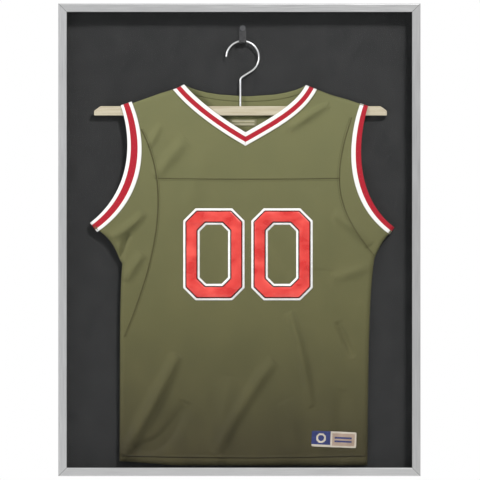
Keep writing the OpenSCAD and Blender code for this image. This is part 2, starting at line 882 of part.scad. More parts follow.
// Side edge, from the armhole's lower corner down to the hem.
function side(inset) =
  let (low = armhole(inset)[curve_steps])
  concat(
    curve([
      low,
      [low[0] - 0.4 * armhole_out, low[1] - 0.05 * armhole_drop],
      [body_half - 3, low[1] - 0.14 * armhole_drop],
      [body_half - 3, low[1] - 0.26 * armhole_drop]
    ]),
    [[body_half, tip_z - 0.5 * armhole_drop], [body_half - 2, hem_z]]
  );

module jersey_outline(neck_edge, inset) {
  half = concat(neck_edge, armhole(inset), side(inset));
  translate([jersey_x, 0]) polygon(concat(half, mirrored(half)));
}

// The band between two edges, on the right-hand half.
module band(inner, outer) {
  polygon(concat(inner, backwards(outer)));
}

module jersey_front() {
  color("darkolivegreen") from_bottom() slab(front_y - fabric_t, fabric_t)
    jersey_outline(neck(neck_trim_w), arm_trim_w);
}

// Back panel, with the shoulders brought forward over the bar.
module jersey_back() {
  shoulder = [armhole(0)[0], neck(0)[curve_steps]];
  underside = [for (p = shoulder) p - [0, fabric_t]];
  color("olivedrab") from_bottom() {
    slab(back_y, fabric_t) jersey_outline(back_neck(), arm_trim_w);
    slab(front_y, back_y - front_y) translate([jersey_x, 0]) {
      band(underside, shoulder);
      mirror([1, 0]) band(underside, shoulder);
    }
  }
}

// Strip that joins front and back below the armhole, on the right-hand side.
module side_panel() {
  edge = side(arm_trim_w);
  inside = [for (p = edge) p - [fabric_t, 0]];
  slab(front_y, back_y - front_y) band(inside, edge);
}

module side_panel_left() {
  color("darkolivegreen") from_bottom() translate([jersey_x, 0, 0]) mirror([1, 0, 0]) side_panel();
}

module side_panel_right() {
  color("darkolivegreen") from_bottom() translate([jersey_x, 0, 0]) side_panel();
}

module neck_trim() {
  color("firebrick") from_bottom() slab(front_y - fabric_t, fabric_t) translate([jersey_x, 0]) {
    band(neck(0), neck(neck_trim_w));
    mirror([1, 0]) band(neck(0), neck(neck_trim_w));
  }
}

module arm_trim() {
  slab(front_y - fabric_t, fabric_t) band(armhole(arm_trim_w), armhole(0));
}

module arm_trim_left() {
  color("firebrick") from_bottom() translate([jersey_x, 0, 0]) mirror([1, 0, 0]) arm_trim();
}

module arm_trim_right() {
  color("firebrick") from_bottom() translate([jersey_x, 0, 0]) arm_trim();
}

// ---------- number and labels ----------

// Rectangle with sloped corners, centred on the origin.
module chamfered(w, h, c) {
  polygon([
    [-w / 2 + c, -h / 2],
    [w / 2 - c, -h / 2],
    [w / 2, -h / 2 + c],
    [w / 2, h / 2 - c],
    [w / 2 - c, h / 2],
    [-w / 2 + c, h / 2],
    [-w / 2, h / 2 - c],
    [-w / 2, -h / 2 + c]
  ]);
}

// Block-style zero; inset thins the stroke evenly from both edges.
module zero(inset) {
  slope = stroke * 0.75;
  trim = inset * (2 - sqrt(2));
  inner_slope = slope * 0.4;
  difference() {
    chamfered(digit_w - 2 * inset, digit_h - 2 * inset, slope - trim);
    chamfered(digit_w - 2 * (stroke - inset), digit_h - 2 * (stroke - inset), inner_slope + trim);
  }
}

function digit_x(side) = jersey_x + digit_shift + side * (digit_w + digit_gap) / 2;

module digit(side, y, inset) {
  slab(y - cloth_t, cloth_t) translate([digit_x(side), digit_z]) zero(inset);
}

module number_base_left() {
  color("white") from_bottom() digit(-1, number_y, 0);
}

module number_base_right() {
  color("white") from_bottom() digit(1, number_y, 0);
}

module number_top_left() {
  color("crimson") from_bottom() digit(-1, number_y - cloth_t, border);
}

module number_top_right() {
  color("crimson") from_bottom() digit(1, number_y - cloth_t, border);
}

module rounded(w, h) {
  difference() {
    square([w, h], center = true);
    for (sx = [-1, 1], sz = [-1, 1]) scale([sx, sz]) translate([-w / 2, -h / 2]) corner_round(tag_r);
  }
}

module hem_tag() {
  color("royalblue") from_bottom() slab(number_y - cloth_t, cloth_t)
    translate([tag_x, tag_z]) rotate(-tag_turn) rounded(tag_w, tag_h);
}

module neck_label() {
  color("ivory") from_bottom() slab(back_y - cloth_t / 2, cloth_t / 2)
    translate([jersey_x, bar_top_z - bar_h - label_h]) rounded(label_w, label_h);
}

// ---------- what is drawn ----------

case_rail_left();
case_rail_right();
case_rail_top();
case_rail_bottom();
corner_plates();
corner_screws();
back_panel();
panel_screws();
felt_lining();
door_seal();
j_hook();
j_hook_screw();
keyhole_plate_left();
keyhole_plate_right();
keyhole_screws();
case_leaf_bottom();
case_leaf_middle();
case_leaf_top();
case_leaf_screws();
hinge_pins();
catch_lower();
catch_upper();
door_rail_left();
door_rail_right();
door_rail_top();
door_rail_bottom();
corner_keys();
acrylic_panel();
glazing_bead();
door_leaf_bottom();
door_leaf_middle();
door_leaf_top();
door_leaf_screws();
strike_lower();
strike_upper();
hanger_hook();
hanger_bar();
jersey_front();
jersey_back();
side_panel_left();
side_panel_right();
neck_trim();
arm_trim_left();
arm_trim_right();
number_base_left();
number_base_right();
number_top_left();
number_top_right();
hem_tag();
neck_label();
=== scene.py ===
"""Looks of a wall-hung jersey display case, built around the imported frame.

Sizes that end in _mm, and all garment measures, are millimetres. Garment points are (u, v):
u to the right of the jersey's middle line, v up from its hem. Everything else is in metres.
"""
import json
import math

import bmesh
import bpy
import numpy as np
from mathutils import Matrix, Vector


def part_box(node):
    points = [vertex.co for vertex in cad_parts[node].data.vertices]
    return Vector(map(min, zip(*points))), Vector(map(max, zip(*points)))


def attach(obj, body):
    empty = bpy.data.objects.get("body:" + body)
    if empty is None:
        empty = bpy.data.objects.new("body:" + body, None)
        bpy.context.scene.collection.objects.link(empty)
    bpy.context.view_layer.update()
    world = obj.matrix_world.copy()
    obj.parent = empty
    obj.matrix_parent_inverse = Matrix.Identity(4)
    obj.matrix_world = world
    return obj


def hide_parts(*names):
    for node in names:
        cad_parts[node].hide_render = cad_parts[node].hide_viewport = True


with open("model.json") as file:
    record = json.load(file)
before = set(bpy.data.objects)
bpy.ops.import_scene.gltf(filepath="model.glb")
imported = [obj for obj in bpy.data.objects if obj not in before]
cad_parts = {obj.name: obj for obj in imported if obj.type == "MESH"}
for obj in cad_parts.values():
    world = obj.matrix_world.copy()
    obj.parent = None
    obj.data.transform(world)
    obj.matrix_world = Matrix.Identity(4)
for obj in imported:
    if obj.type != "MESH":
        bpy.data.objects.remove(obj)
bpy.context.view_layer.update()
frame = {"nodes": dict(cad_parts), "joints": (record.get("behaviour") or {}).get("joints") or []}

NODE = frame["nodes"]
MM = 0.001
TAU = 2 * math.pi


# ---- camera, lights and stage

FRAME_LOW, FRAME_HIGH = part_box("door_rail_left")
DOOR_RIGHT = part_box("door_rail_right")[1].x
FRAME_MID_X = (FRAME_LOW.x + DOOR_RIGHT) / 2
FRAME_MID_Z = (FRAME_LOW.z + FRAME_HIGH.z) / 2
FRONT_Y = FRAME_LOW.y

LENS_MM = 400
SENSOR_MM = 36
VIEW_WIDTH = 0.8126  # width of the view at the frame's front face
VIEW_RIGHT = 0.001  # the view's centre beside the frame's
VIEW_DOWN = 0.0003


def add_object(name, data):
    """An object in the scene that carries that data."""
    item = bpy.data.objects.new(name, data)
    bpy.context.scene.collection.objects.link(item)
    return item


def add_camera():
    data = bpy.data.cameras.new("camera")
    data.lens = LENS_MM
    data.sensor_width = SENSOR_MM
    data.clip_end = 100
    camera = add_object("camera", data)
    distance = VIEW_WIDTH * LENS_MM / SENSOR_MM
    camera.location = (FRAME_MID_X + VIEW_RIGHT, FRONT_Y - distance, FRAME_MID_Z - VIEW_DOWN)
    camera.rotation_euler = (math.radians(90), 0, 0)
    bpy.context.scene.camera = camera


def add_area_light(name, direction, distance, size, energy, color=(1, 1, 1), only=None):
    """A square light that shines on the case's middle from a direction, or only on one group."""
    data = bpy.data.lights.new(name, "AREA")
    data.shape = "SQUARE"
    data.size = size
    data.energy = energy
    data.color = color
    light = add_object(name, data)
    target = Vector((FRAME_MID_X, 0, FRAME_MID_Z))
    away = Vector(direction).normalized()
    light.location = target + away * distance
    light.rotation_euler = away.to_track_quat("Z", "Y").to_euler()
    if only is not None:
        light.light_linking.receiver_collection = only
        light.light_linking.blocker_collection = only


def add_world():
    """White to the camera, and a weaker white as light, so the case stands on plain white."""
    world = bpy.data.worlds.new("studio")
    bpy.context.scene.world = world
    world.use_nodes = True
    nodes = world.node_tree.nodes
    links = world.node_tree.links
    nodes.clear()
    output = nodes.new("ShaderNodeOutputWorld")
    mix = nodes.new("ShaderNodeMixShader")
    path = nodes.new("ShaderNodeLightPath")
    ambient = nodes.new("ShaderNodeBackground")
    backdrop = nodes.new("ShaderNodeBackground")
    ambient.inputs["Color"].default_value = (0.97, 0.985, 1.0, 1)
    ambient.inputs["Strength"].default_value = 0.25
    backdrop.inputs["Color"].default_value = (1, 1, 1, 1)
    backdrop.inputs["Strength"].default_value = 1.0
    links.new(path.outputs["Is Camera Ray"], mix.inputs[0])
    links.new(ambient.outputs[0], mix.inputs[1])
    links.new(backdrop.outputs[0], mix.inputs[2])
    links.new(mix.outputs[0], output.inputs["Surface"])


def add_floor():
    """A plain pale floor, well below the hanging case."""
    half = 3.0
    drop = 0.35
    mesh = bpy.data.meshes.new("floor")
    corners = [(-half, -half, 0), (half, -half, 0), (half, half, 0), (-half, half, 0)]
    mesh.from_pydata(corners, [], [(0, 1, 2, 3)])
    floor = add_object("floor", mesh)
    floor.location = (FRAME_MID_X, 0, FRAME_LOW.z - drop)
    paint = plain_material("floor_paint", (0.9, 0.9, 0.89), 0.85, 8.0, 0.02, change=0.01)
    mesh.materials.append(paint)


# ---- material building blocks

def start_material(name, color, roughness, metallic=0.0, **sockets):
    """A Principled material; sockets are constants such as Sheen_Weight=0.2."""
    material = bpy.data.materials.new(name)
    material.use_nodes = True
    shader = material.node_tree.nodes["Principled BSDF"]
    shader.inputs["Base Color"].default_value = (*color, 1)
    shader.inputs["Roughness"].default_value = roughness
    shader.inputs["Metallic"].default_value = metallic
    for socket, value in sockets.items():
        shader.inputs[socket.replace("_", " ")].default_value = value
    return material


def shader_of(material):
    return material.node_tree.nodes["Principled BSDF"]


def add_node(material, kind, links=(), **settings):
    """A node of that kind; links are (socket, output) pairs to feed it, settings its properties."""
    node = material.node_tree.nodes.new(kind)
    for name, value in settings.items():
        setattr(node, name, value)
    for socket, output in links:
        material.node_tree.links.new(output, node.inputs[socket])
    return node


def object_place(material):
    """The point's own coordinates in metres, which move with the piece."""
    return add_node(material, "ShaderNodeTexCoord").outputs["Object"]


def object_axes(material):
    """The same coordinates as separate X, Y and Z outputs."""
    split = add_node(material, "ShaderNodeSeparateXYZ", [("Vector", object_place(material))])
    return split.outputs


def place(material, feature_mm, turn=(0, 0, 0)):
    """Object coordinates scaled so that one unit is one feature; its sizes are along X, Y, Z."""
    mapping = add_node(material, "ShaderNodeMapping", [("Vector", object_place(material))])
    mapping.inputs["Rotation"].default_value = [math.radians(angle) for angle in turn]
    mapping.inputs["Scale"].default_value = [1 / (size * MM) for size in feature_mm]
    return mapping.outputs["Vector"]


def noise(material, feature_mm, detail=2.0, turn=(0, 0, 0)):
    node = add_node(material, "ShaderNodeTexNoise",
                    [("Vector", place(material, feature_mm, turn))])
    node.inputs["Scale"].default_value = 1.0
    node.inputs["Detail"].default_value = detail
    return node.outputs["Fac"]


def ridges(material, pitch_mm, axis="X", turn=(0, 0, 0)):
    """Even ridges, pitch_mm apart along one axis."""
    node = add_node(material, "ShaderNodeTexWave",
                    [("Vector", place(material, (pitch_mm,) * 3, turn))],
                    bands_direction=axis)
    node.inputs["Scale"].default_value = 1 / 3.183  # one wave for each unit of coordinates
    return node.outputs["Fac"]


def math_node(material, operation, first, second):
    node = add_node(material, "ShaderNodeMath", operation=operation)
    for index, value in enumerate((first, second)):
        if isinstance(value, (int, float)):
            node.inputs[index].default_value = value
        else:
            material.node_tree.links.new(value, node.inputs[index])
    return node.outputs[0]


def spread(material, value, low, high, from_low=0.3, from_high=0.7):
    """A pattern's value, brought from its usual range to low..high."""
    node = add_node(material, "ShaderNodeMapRange", [("Value", value)])
    node.inputs["From Min"].default_value = from_low
    node.inputs["From Max"].default_value = from_high
    node.inputs["To Min"].default_value = low
    node.inputs["To Max"].default_value = high
    return node.outputs["Result"]


def blend_colors(material, factor, first, second):
    """The first colour where the factor is 0, the second where it is 1."""
    node = add_node(material, "ShaderNodeMix", data_type="RGBA")
    for socket, value in ((6, first), (7, second)):
        if isinstance(value, tuple):
            node.inputs[socket].default_value = (*value, 1)
        else:
            material.node_tree.links.new(value, node.inputs[socket])
    material.node_tree.links.new(factor, node.inputs[0])
    return node.outputs[2]


def tint(material, pattern, first, second, share=1, from_low=0.3, from_high=0.7):
    """The first colour, turning up to that share into the second where the pattern is high."""
    factor = spread(material, pattern, 0, share, from_low, from_high)
    return blend_colors(material, factor, first, second)


def set_color(material, color):
    material.node_tree.links.new(color, shader_of(material).inputs["Base Color"])


def set_roughness(material, pattern, low, high):
    rough = spread(material, pattern, low, high)
    material.node_tree.links.new(rough, shader_of(material).inputs["Roughness"])


def set_bump(material, height, depth_mm, strength=1.0):
    node = add_node(material, "ShaderNodeBump", [("Height", height)])
    node.inputs["Distance"].default_value = depth_mm * MM
    node.inputs["Strength"].default_value = strength
    material.node_tree.links.new(node.outputs["Normal"], shader_of(material).inputs["Normal"])


def plain_material(name, color, roughness, grain_mm=2.0, depth_mm=0.05, metallic=0.0,
                   change=0.12, **sockets):
    """A moulded, painted or plated finish: slight mottling, uneven gloss and a fine grain."""
    material = start_material(name, color, roughness, metallic, **sockets)
    mottle = noise(material, (grain_mm * 9,) * 3)
    dark = tuple(channel * (1 - change) for channel in color)
    light = tuple(min(1, channel * (1 + change)) for channel in color)
    set_color(material, tint(material, mottle, dark, light))
    set_roughness(material, noise(material, (grain_mm * 3,) * 3), roughness * 0.85,
                  min(1, roughness * 1.15))
    set_bump(material, noise(material, (grain_mm,) * 3, 3.0), depth_mm)
    return material


# ---- hard materials

MITRE_CORE_MM = 0.2  # half widths of a mitre's hairline: fully dark, and faded out
MITRE_EDGE_MM = 0.7


def mitre_lines(material):
    """1 on the hairlines where two rails meet at a corner, 0 elsewhere."""
    axes = object_axes(material)
    inward = []
    for axis, middle, half in (("X", FRAME_MID_X, DOOR_RIGHT - FRAME_MID_X),
                               ("Z", FRAME_MID_Z, FRAME_HIGH.z - FRAME_MID_Z)):
        centred = math_node(material, "SUBTRACT", axes[axis], middle)
        inward.append(math_node(material, "SUBTRACT", half,
                                math_node(material, "ABSOLUTE", centred, 0)))
    gap = math_node(material, "ABSOLUTE", math_node(material, "SUBTRACT", *inward), 0)
    return spread(material, gap, 1, 0, MITRE_CORE_MM * MM, MITRE_EDGE_MM * MM)


def brushed_aluminium(name, along, side_light_share=1.0):
    """Satin aluminium with fine lines along the rail, and faint handling marks; the share argument
    paints the whole rail lighter or darker, as light falls on that side of the frame.
    """
    dull, bright, worn = (tuple(channel * side_light_share for channel in tone) for tone in
                          ((0.66, 0.66, 0.665), (0.86, 0.86, 0.86), (0.93, 0.93, 0.93)))
    material = start_material(name, (0.8, 0.8, 0.8), 0.36, 0.8, Anisotropic=0.35)
    line = {"X": (60, 0.35, 0.35), "Z": (0.35, 0.35, 60)}[along]
    lines = noise(material, line, 3.0)
    cloud = noise(material, (140, 140, 140), 1.0)
    tone = tint(material, lines, dull, bright)
    tone = tint(material, cloud, tone, worn, 0.12)
    joint = math_node(material, "MULTIPLY", mitre_lines(material), 0.75)
    set_color(material, blend_colors(material, joint, tone, (0.12, 0.12, 0.12)))
    set_roughness(material, lines, 0.3, 0.44)
    set_bump(material, lines, 0.03, 0.6)
    return material


def felt_material():
    """Charcoal felt: short matted fibres that catch a little light, with lighter specks."""
    material = start_material("charcoal_felt", (0.036, 0.037, 0.038), 0.95,
                              Sheen_Weight=0.03, Sheen_Roughness=0.6,
                              Specular_IOR_Level=0.06)
    fibres = noise(material, (0.8, 0.8, 0.8), 6.0)
    clumps = noise(material, (22, 22, 30), 3.0)
    tone = tint(material, clumps, (0.0315, 0.0318, 0.0322), (0.0405, 0.0408, 0.0413))
    set_color(material, tint(material, fibres, tone, (0.072, 0.073, 0.075), 0.4, 0.45, 0.8))
    set_bump(material, fibres, 0.14, 0.6)
    return material


def wood_material():
    """Pale lacquered beech: long grain lines with short darker flecks."""
    material = start_material("pale_wood", (0.48, 0.43, 0.31), 0.42, Coat_Weight=0.15,
                              Coat_Roughness=0.3)
    grain = noise(material, (70, 2.2, 1.6), 4.0)
    flecks = noise(material, (7, 0.8, 0.8), 2.0)
    tone = tint(material, grain, (0.4, 0.34, 0.235), (0.54, 0.49, 0.37))
    set_color(material, tint(material, flecks, tone, (0.4, 0.29, 0.16), 0.5, 0.6, 0.8))
    set_roughness(material, grain, 0.34, 0.5)
    set_bump(material, grain, 0.08, 0.5)
    return material


def acrylic_material():
    """Clear polished acrylic, with faint smudges that show only in the gloss."""
    material = start_material("clear_acrylic", (0.05, 0.055, 0.055), 0.03, Alpha=0.03, IOR=1.49)
    set_roughness(material, noise(material, (160, 160, 160), 3.0), 0.02, 0.07)
    return material


def hardboard_material():
    """Brown hardboard: pressed fibres in short dark and light flecks."""
    material = start_material("hardboard", (0.3, 0.19, 0.11), 0.75)
    fibres = noise(material, (5, 5, 2.5), 5.0)
    set_color(material, tint(material, fibres, (0.21, 0.13, 0.075), (0.38, 0.25, 0.15)))
    set_bump(material, fibres, 0.15, 0.6)
    return material


# ---- soft materials

def knit_material():
    """Olive sports knit: fine wales and courses and a soft sheen, with painted shade that darkens
    it from the shoulders towards the hem, and a painted highlight on the hem's band below its seam.
    """
    material = start_material("olive_knit", (0.15, 0.15, 0.07), 0.72, Sheen_Weight=0.03,
                              Sheen_Roughness=0.45, Specular_IOR_Level=0.16)
    # Painted shade: the colour ramp darkens the knit downwards, in place of light that falls off
    # towards the hem.
    height = spread(material, object_axes(material)["Z"], 0, 1, HEM_Z, HEM_Z + SHOULDER_V * MM)
    ramp = add_node(material, "ShaderNodeValToRGB", [("Fac", height)])
    # Painted highlight: the hem below its seam is painted lighter than the cloth just above, where
    # light catches the hem; the darker colour after it is painted shade.
    hem_painted_highlight, hem_painted_shade = (0.051, 0.044, 0.02), (0.04, 0.034, 0.0155)
    elements = ramp.color_ramp.elements
    for share, color in ((HEM_HIGH / SHOULDER_V, hem_painted_highlight),
                         ((HEM_HIGH + 2) / SHOULDER_V, hem_painted_shade),
                         (0.42, (0.105, 0.101, 0.042))):
        elements.new(share).color = (*color, 1)
    elements[0].color = (*hem_painted_highlight, 1)
    elements[-1].color = (0.15, 0.152, 0.068, 1)
    wales = ridges(material, 1.3, "X")
    courses = ridges(material, 1.1, "Z")
    loops = math_node(material, "MULTIPLY", wales, courses)
    dyed = noise(material, (38, 38, 60), 3.0)
    tone = tint(material, dyed, ramp.outputs["Color"], (0.3, 0.27, 0.13), 0.07)
    set_color(material, blend_colors(material, math_node(material, "MULTIPLY", loops, 0.2),
                                     tone, (0.05, 0.045, 0.02)))
    set_roughness(material, dyed, 0.64, 0.8)
    set_bump(material, loops, 0.12, 0.7)
    return material


def rib_material(name, color, shade):
    """Rib knit trim: fine ribs across the band, darker between them."""
    material = start_material(name, color, 0.7, Sheen_Weight=0.05, Specular_IOR_Level=0.2)
    ribs = ridges(material, 1.6, "Z")
    fuzz = noise(material, (1.2, 1.2, 1.2), 3.0)
    tone = tint(material, ribs, shade, color, 0.35, 0, 1)
    set_color(material, tint(material, fuzz, tone, color, 0.3))
    set_roughness(material, fuzz, 0.62, 0.78)
    set_bump(material, ribs, 0.14, 0.6)
    return material


def twill_material(name, color, shade, roughness, pitch_mm=1.1, slub_and_highlight_mm=14, **sockets):
    """Twill weave: fine slanting lines, and a slub pattern that varies the colour and the gloss; at
    the large size given for the red satin, its light and dark patches are painted highlights and
    painted shade.
    """
    material = start_material(name, color, roughness, **sockets)
    lines = ridges(material, pitch_mm, "X", turn=(0, 45, 0))
    slubs_and_highlights = noise(material, (slub_and_highlight_mm, slub_and_highlight_mm, 0.65 * slub_and_highlight_mm), 2.0)
    tone = tint(material, slubs_and_highlights, shade, color)
    set_color(material, blend_colors(material, math_node(material, "MULTIPLY", lines, 0.2),
                                     tone, shade))
    set_roughness(material, slubs_and_highlights, roughness * 0.8, roughness * 1.25)
    set_bump(material, lines, 0.05, 0.5)
    return material


def thread_material(name, color):
    """Sewing thread: plies that twist along each stitch."""
    material = start_material(name, color, 0.6, Specular_IOR_Level=0.12)
    plies = ridges(material, 0.5, "X", turn=(0, 30, 0))
    dark = tuple(channel * 0.6 for channel in color)
    set_color(material, tint(material, plies, dark, color, 1, 0, 1))
    set_bump(material, plies, 0.05, 0.6)
    return material


# ---- the garment's shape

JERSEY_LOW, JERSEY_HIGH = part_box("jersey_front")
BAR_LOW, BAR_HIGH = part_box("hanger_bar")
JERSEY_X = (JERSEY_LOW.x + JERSEY_HIGH.x) / 2
HEM_Z = JERSEY_LOW.z
BAR_Y = (BAR_LOW.y + BAR_HIGH.y) / 2
HALF_GAP = (BAR_Y - JERSEY_LOW.y) / MM  # bar's middle to the outside of the front
BACK_GAP = (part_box("jersey_back")[1].y - BAR_Y) / MM

BAR_V = (BAR_LOW.z - HEM_Z) / MM  # underside of the bar above the hem
CLOTH_MM = 0.9  # thickness of the knit
SHOULDER_V = 611  # shoulder's end above the hem
V_POINT = (4, 565)  # point of the neck's V
NECK_BAND = 20  # width of the band round the neck
LEFT_BAND = (19.5, 25)  # armhole bands as they lie on the front: ends, middle
RIGHT_BAND = (14, 17)
ARM_ROLL = 7  # height over which the cloth turns over the bar
SIDE_ROLL = 8  # width over which it turns at the side seams
ARMPIT_V = 399  # armpits above the hem


def bezier(points, count):
    """Points along a Bezier curve of any order."""
    t = np.linspace(0, 1, count)[:, None]
    order = len(points) - 1
    return sum(math.comb(order, i) * t ** i * (1 - t) ** (order - i) * np.array(point, float)
               for i, point in enumerate(points))


def headings(curve):
    """Unit vectors along the curve at each of its points."""
    step = np.gradient(curve, axis=0)
    return step / np.linalg.norm(step, axis=1)[:, None]


def offset(curve, distance):
    """The curve moved sideways; a positive distance is to the left of its direction."""
    way = headings(curve)
    return curve + distance * np.stack([-way[:, 1], way[:, 0]], axis=1)


def lengths(curve):
    """Distance along the curve at each of its points."""
    steps = np.linalg.norm(np.diff(curve, axis=0), axis=1)
    return np.concatenate([[0], np.cumsum(steps)])


def along(curve, distances):
    """Points of the curve at the given distances from its start."""
    total = lengths(curve)
    return np.stack([np.interp(distances, total, curve[:, k]) for k in (0, 1)], axis=1)


# Outer edges of the armhole bands, from the shoulder down to the armpit.
LEFT_ARMHOLE = bezier([(-208, 611), (-190, 560), (-184, 470), (-260, 411)], 90)
RIGHT_ARMHOLE = bezier([(212, 610), (196, 560), (184, 458), (257, 403)], 90)
# Inner edges of the neck band, from the shoulder down to the V's point.
LEFT_NECK = bezier([(-100, 646), (-80, 622), (-42, 592), V_POINT], 60)
RIGHT_NECK = bezier([(106, 645), (90, 614), (52, 592), V_POINT], 60)
# Side seams, from the armpit down: a hollow under the arm, a small notch, then straight.
LEFT_SIDE = bezier([(-246, ARMPIT_V), (-214, 377), (-214, 352), (-205, 342)], 30)
LEFT_FLANK = bezier([(-205, 342), (-208, 322), (-210, 270), (-209, 150), (-210, 0)], 40)
RIGHT_SIDE = bezier([(250, 395), (234, 380), (228, 362), (223, 352)], 30)
RIGHT_FLANK = bezier([(223, 352), (218, 322), (213, 270), (212, 150), (211, 0)], 40)
# Top edge of the back at the neck.
BACK_NECK = bezier([(-100, 646), (-62, 622), (64, 618), (106, 645)], 60)


def edge(side, v):
    """Where the cloth ends at each height, at the middle of the armhole band above the armpit."""
    if side < 0:
        band = offset(LEFT_ARMHOLE, LEFT_BAND[0] / 2)
        chain = [LEFT_FLANK[::-1], LEFT_SIDE[::-1], band[::-1]]
    else:
        band = offset(RIGHT_ARMHOLE, -RIGHT_BAND[0] / 2)
        chain = [RIGHT_FLANK[::-1], RIGHT_SIDE[::-1], band[::-1]]
    line = np.concatenate(chain)
    keep = np.concatenate([[True], np.diff(np.maximum.accumulate(line[:, 1])) > 0])
    return np.interp(v, line[keep, 1], line[keep, 0])


def shoulder_line(u):
    """Height of the shoulder fold, from each band's end up to the neck."""
    return np.interp(u, [-212, -188, -114, -100, 106, 126, 150, 197, 214],
                     [610, 617, 639.5, 646.5, 645.5, 637.5, 628, 615.5, 610])


def smooth(value, low, high):
    """0 below the low limit, 1 above the high one, with an eased rise between them."""
    t = np.clip((value - low) / (high - low), 0, 1)
    return t * t * (3 - 2 * t)


def crease(u, v, points, width, height, skew=0.0):
    """A fold along a curve: a ridge if height is positive, with one steep flank if skewed."""
    path = bezier(points, 28)
    best = np.full(np.shape(u), 1e9)
    result = np.zeros(np.shape(u))
    for index, (point, way) in enumerate(zip(path, headings(path))):
        across = (u - point[0]) * way[1] - (v - point[1]) * way[0]
        distance = np.hypot(u - point[0], v - point[1])
        share = index / (len(path) - 1)
        taper = math.sin(math.pi * share) ** 0.5 if 0 < share < 1 else 0.0
        flank = 1 + skew * np.clip(across / width, -2, 2)
        shape = np.exp(-(distance / width) ** 2) * flank
        nearer = distance < best
        result = np.where(nearer, taper * shape, result)
        best = np.minimum(best, distance)
    return height * result


# Folds of the front: points, half width, height, skew.
FOLDS = [
    ([(-192, 394), (-201, 378), (-209, 346)], 4.5, -2.6, 0.5),
    ([(-168, 428), (-190, 402), (-224, 384)], 9, 2.4, 0.4),
    ([(-168, 360), (-184, 338), (-200, 312)], 10, 1.8, 0.3),
    ([(-152, 490), (-128, 520), (-98, 556)], 13, 1.7, 0.4),
    ([(-162, 540), (-152, 556), (-140, 580)], 8, 1.2, 0.3),
    ([(92, 604), (124, 618), (158, 628)], 7, -1.8, 0.6),
    ([(74, 570), (108, 594), (144, 616)], 10, 1.8, 0.5),
    ([(-108, 190), (-142, 120), (-160, 84), (-204, 12)], 13, 3.0, 0.5),
    ([(-182, 38), (-158, 20), (-128, 34), (-96, 112)], 15, -2.6, 0.0),
    ([(56, 178), (22, 140), (-6, 88), (-50, 12)], 13, 2.1, 0.5),
    ([(78, 262), (104, 186), (116, 96)], 9, 2.1, 0.2),
    ([(160, 244), (176, 214), (188, 184)], 7, -1.6, 0.6),
    ([(214, 372), (188, 402), (152, 428)], 12, 1.9, 0.4),
    ([(216, 340), (186, 322), (150, 318)], 11, 1.2, 0.3),
    ([(-60, 540), (-84, 470), (-96, 410)], 24, 1.0, 0.2),
    ([(120, 470), (134, 400), (130, 330)], 26, 1.0, -0.2),
    ([(-20, 150), (-40, 80), (-30, 10)], 20, 1.2, 0.2),
    ([(70, 110), (92, 60), (88, 5)], 18, 1.3, 0.2),
    ([(170, 130), (160, 70), (170, 8)], 16, -1.2, 0.1),
]
FOLD_DEPTH = 3.0  # how deep the folds are drawn, and how narrow
FOLD_NARROW = 0.8
CHEST_MM = 1.6  # how far the chest stands forward of the hem
SWAY_MM = 0.45  # long waves below the chest
FLUTE_MM = 0.7  # upright waves near the hem
HEM_CORNER = 7  # how far the hem's left corner is drawn up
HEM_HIGH = 15  # height of the hem's seam above its edge
HEM_STEP_MM = 1.1  # how much the hem's double cloth stands proud
LEAST_MM = 1.2  # least distance of the front from the middle plane
FLAT_LIMIT = 13.5  # where folds that come near the door level off


def front_depth(u, v):
    """Distance of the front's outside from the bar's middle plane."""
    u = np.asarray(u, float)
    v = np.asarray(v, float)
    depth = HALF_GAP + CHEST_MM * np.sin(math.pi * np.clip(v / SHOULDER_V, 0, 1)) ** 2
    for points, width, height, skew in FOLDS:
        depth = depth + crease(u, v, points, FOLD_NARROW * width, FOLD_DEPTH * height, skew)
    sway = np.sin(u / 41 + 0.9 * np.sin(v / 83)) + 0.6 * np.sin(u / 67 - v / 120 + 1.7)
    depth = depth + SWAY_MM * sway * (1 - smooth(v, 420, 600))
    flutes = np.sin(u / 23 + 0.8 * np.sin(v / 60 + 2))
    depth = depth + FLUTE_MM * flutes * (1 - smooth(v, 0, 170))
    depth = depth + HEM_STEP_MM * (1 - smooth(v, HEM_HIGH - 2, HEM_HIGH + 2))
    over_bar = (HALF_GAP - 0.2) * smooth(v, BAR_V - 40, BAR_V - 6)
    depth = np.maximum(np.maximum(depth, LEAST_MM), over_bar)
    return np.where(depth > FLAT_LIMIT, FLAT_LIMIT + np.tanh(depth - FLAT_LIMIT), depth)


def back_depth(u, v):
    """Distance of the back's outside from the bar's middle plane, towards the wall."""
    sway = np.sin(np.asarray(u, float) / 52 + 0.7 * np.sin(np.asarray(v, float) / 90))
    return BACK_GAP - 0.3 + 0.5 * sway * (1 - smooth(v, 380, 560))


def quarter_round(distance, radius):
    """0 at an edge, 1 from that radius inwards, along a quarter circle."""
    near = np.clip(distance / radius, 0, 1)
    return np.sqrt(np.clip(1 - (1 - near) ** 2, 0, 1))


def turned(u, v):
    """How far the cloth is still turned outwards: 1 on the flat, 0 where front meets back."""
    u = np.asarray(u, float)
    v = np.asarray(v, float)
    inside = np.minimum(u - edge(-1, v), edge(1, v) - u)
    shut = 1 - smooth(v, ARMPIT_V - 16, ARMPIT_V + 4)
    share = quarter_round(shoulder_line(u) - v, ARM_ROLL)
    return share * (1 - shut * (1 - quarter_round(inside, SIDE_ROLL)))


def cloth_point(u, v, depth, share):
    """Points in the frame, that depth behind the bar's middle plane where the cloth is flat."""
    share = turned(u, v) if share is None else share
    return np.stack([JERSEY_X + np.asarray(u) * MM, BAR_Y + depth * share * MM,
                     HEM_Z + np.asarray(v) * MM], axis=-1)


def front_point(u, v, lift=0.0, share=None):
    """Points of the front's surface, lift millimetres proud of the cloth."""
    return cloth_point(u, v, -(front_depth(u, v) + lift), share)


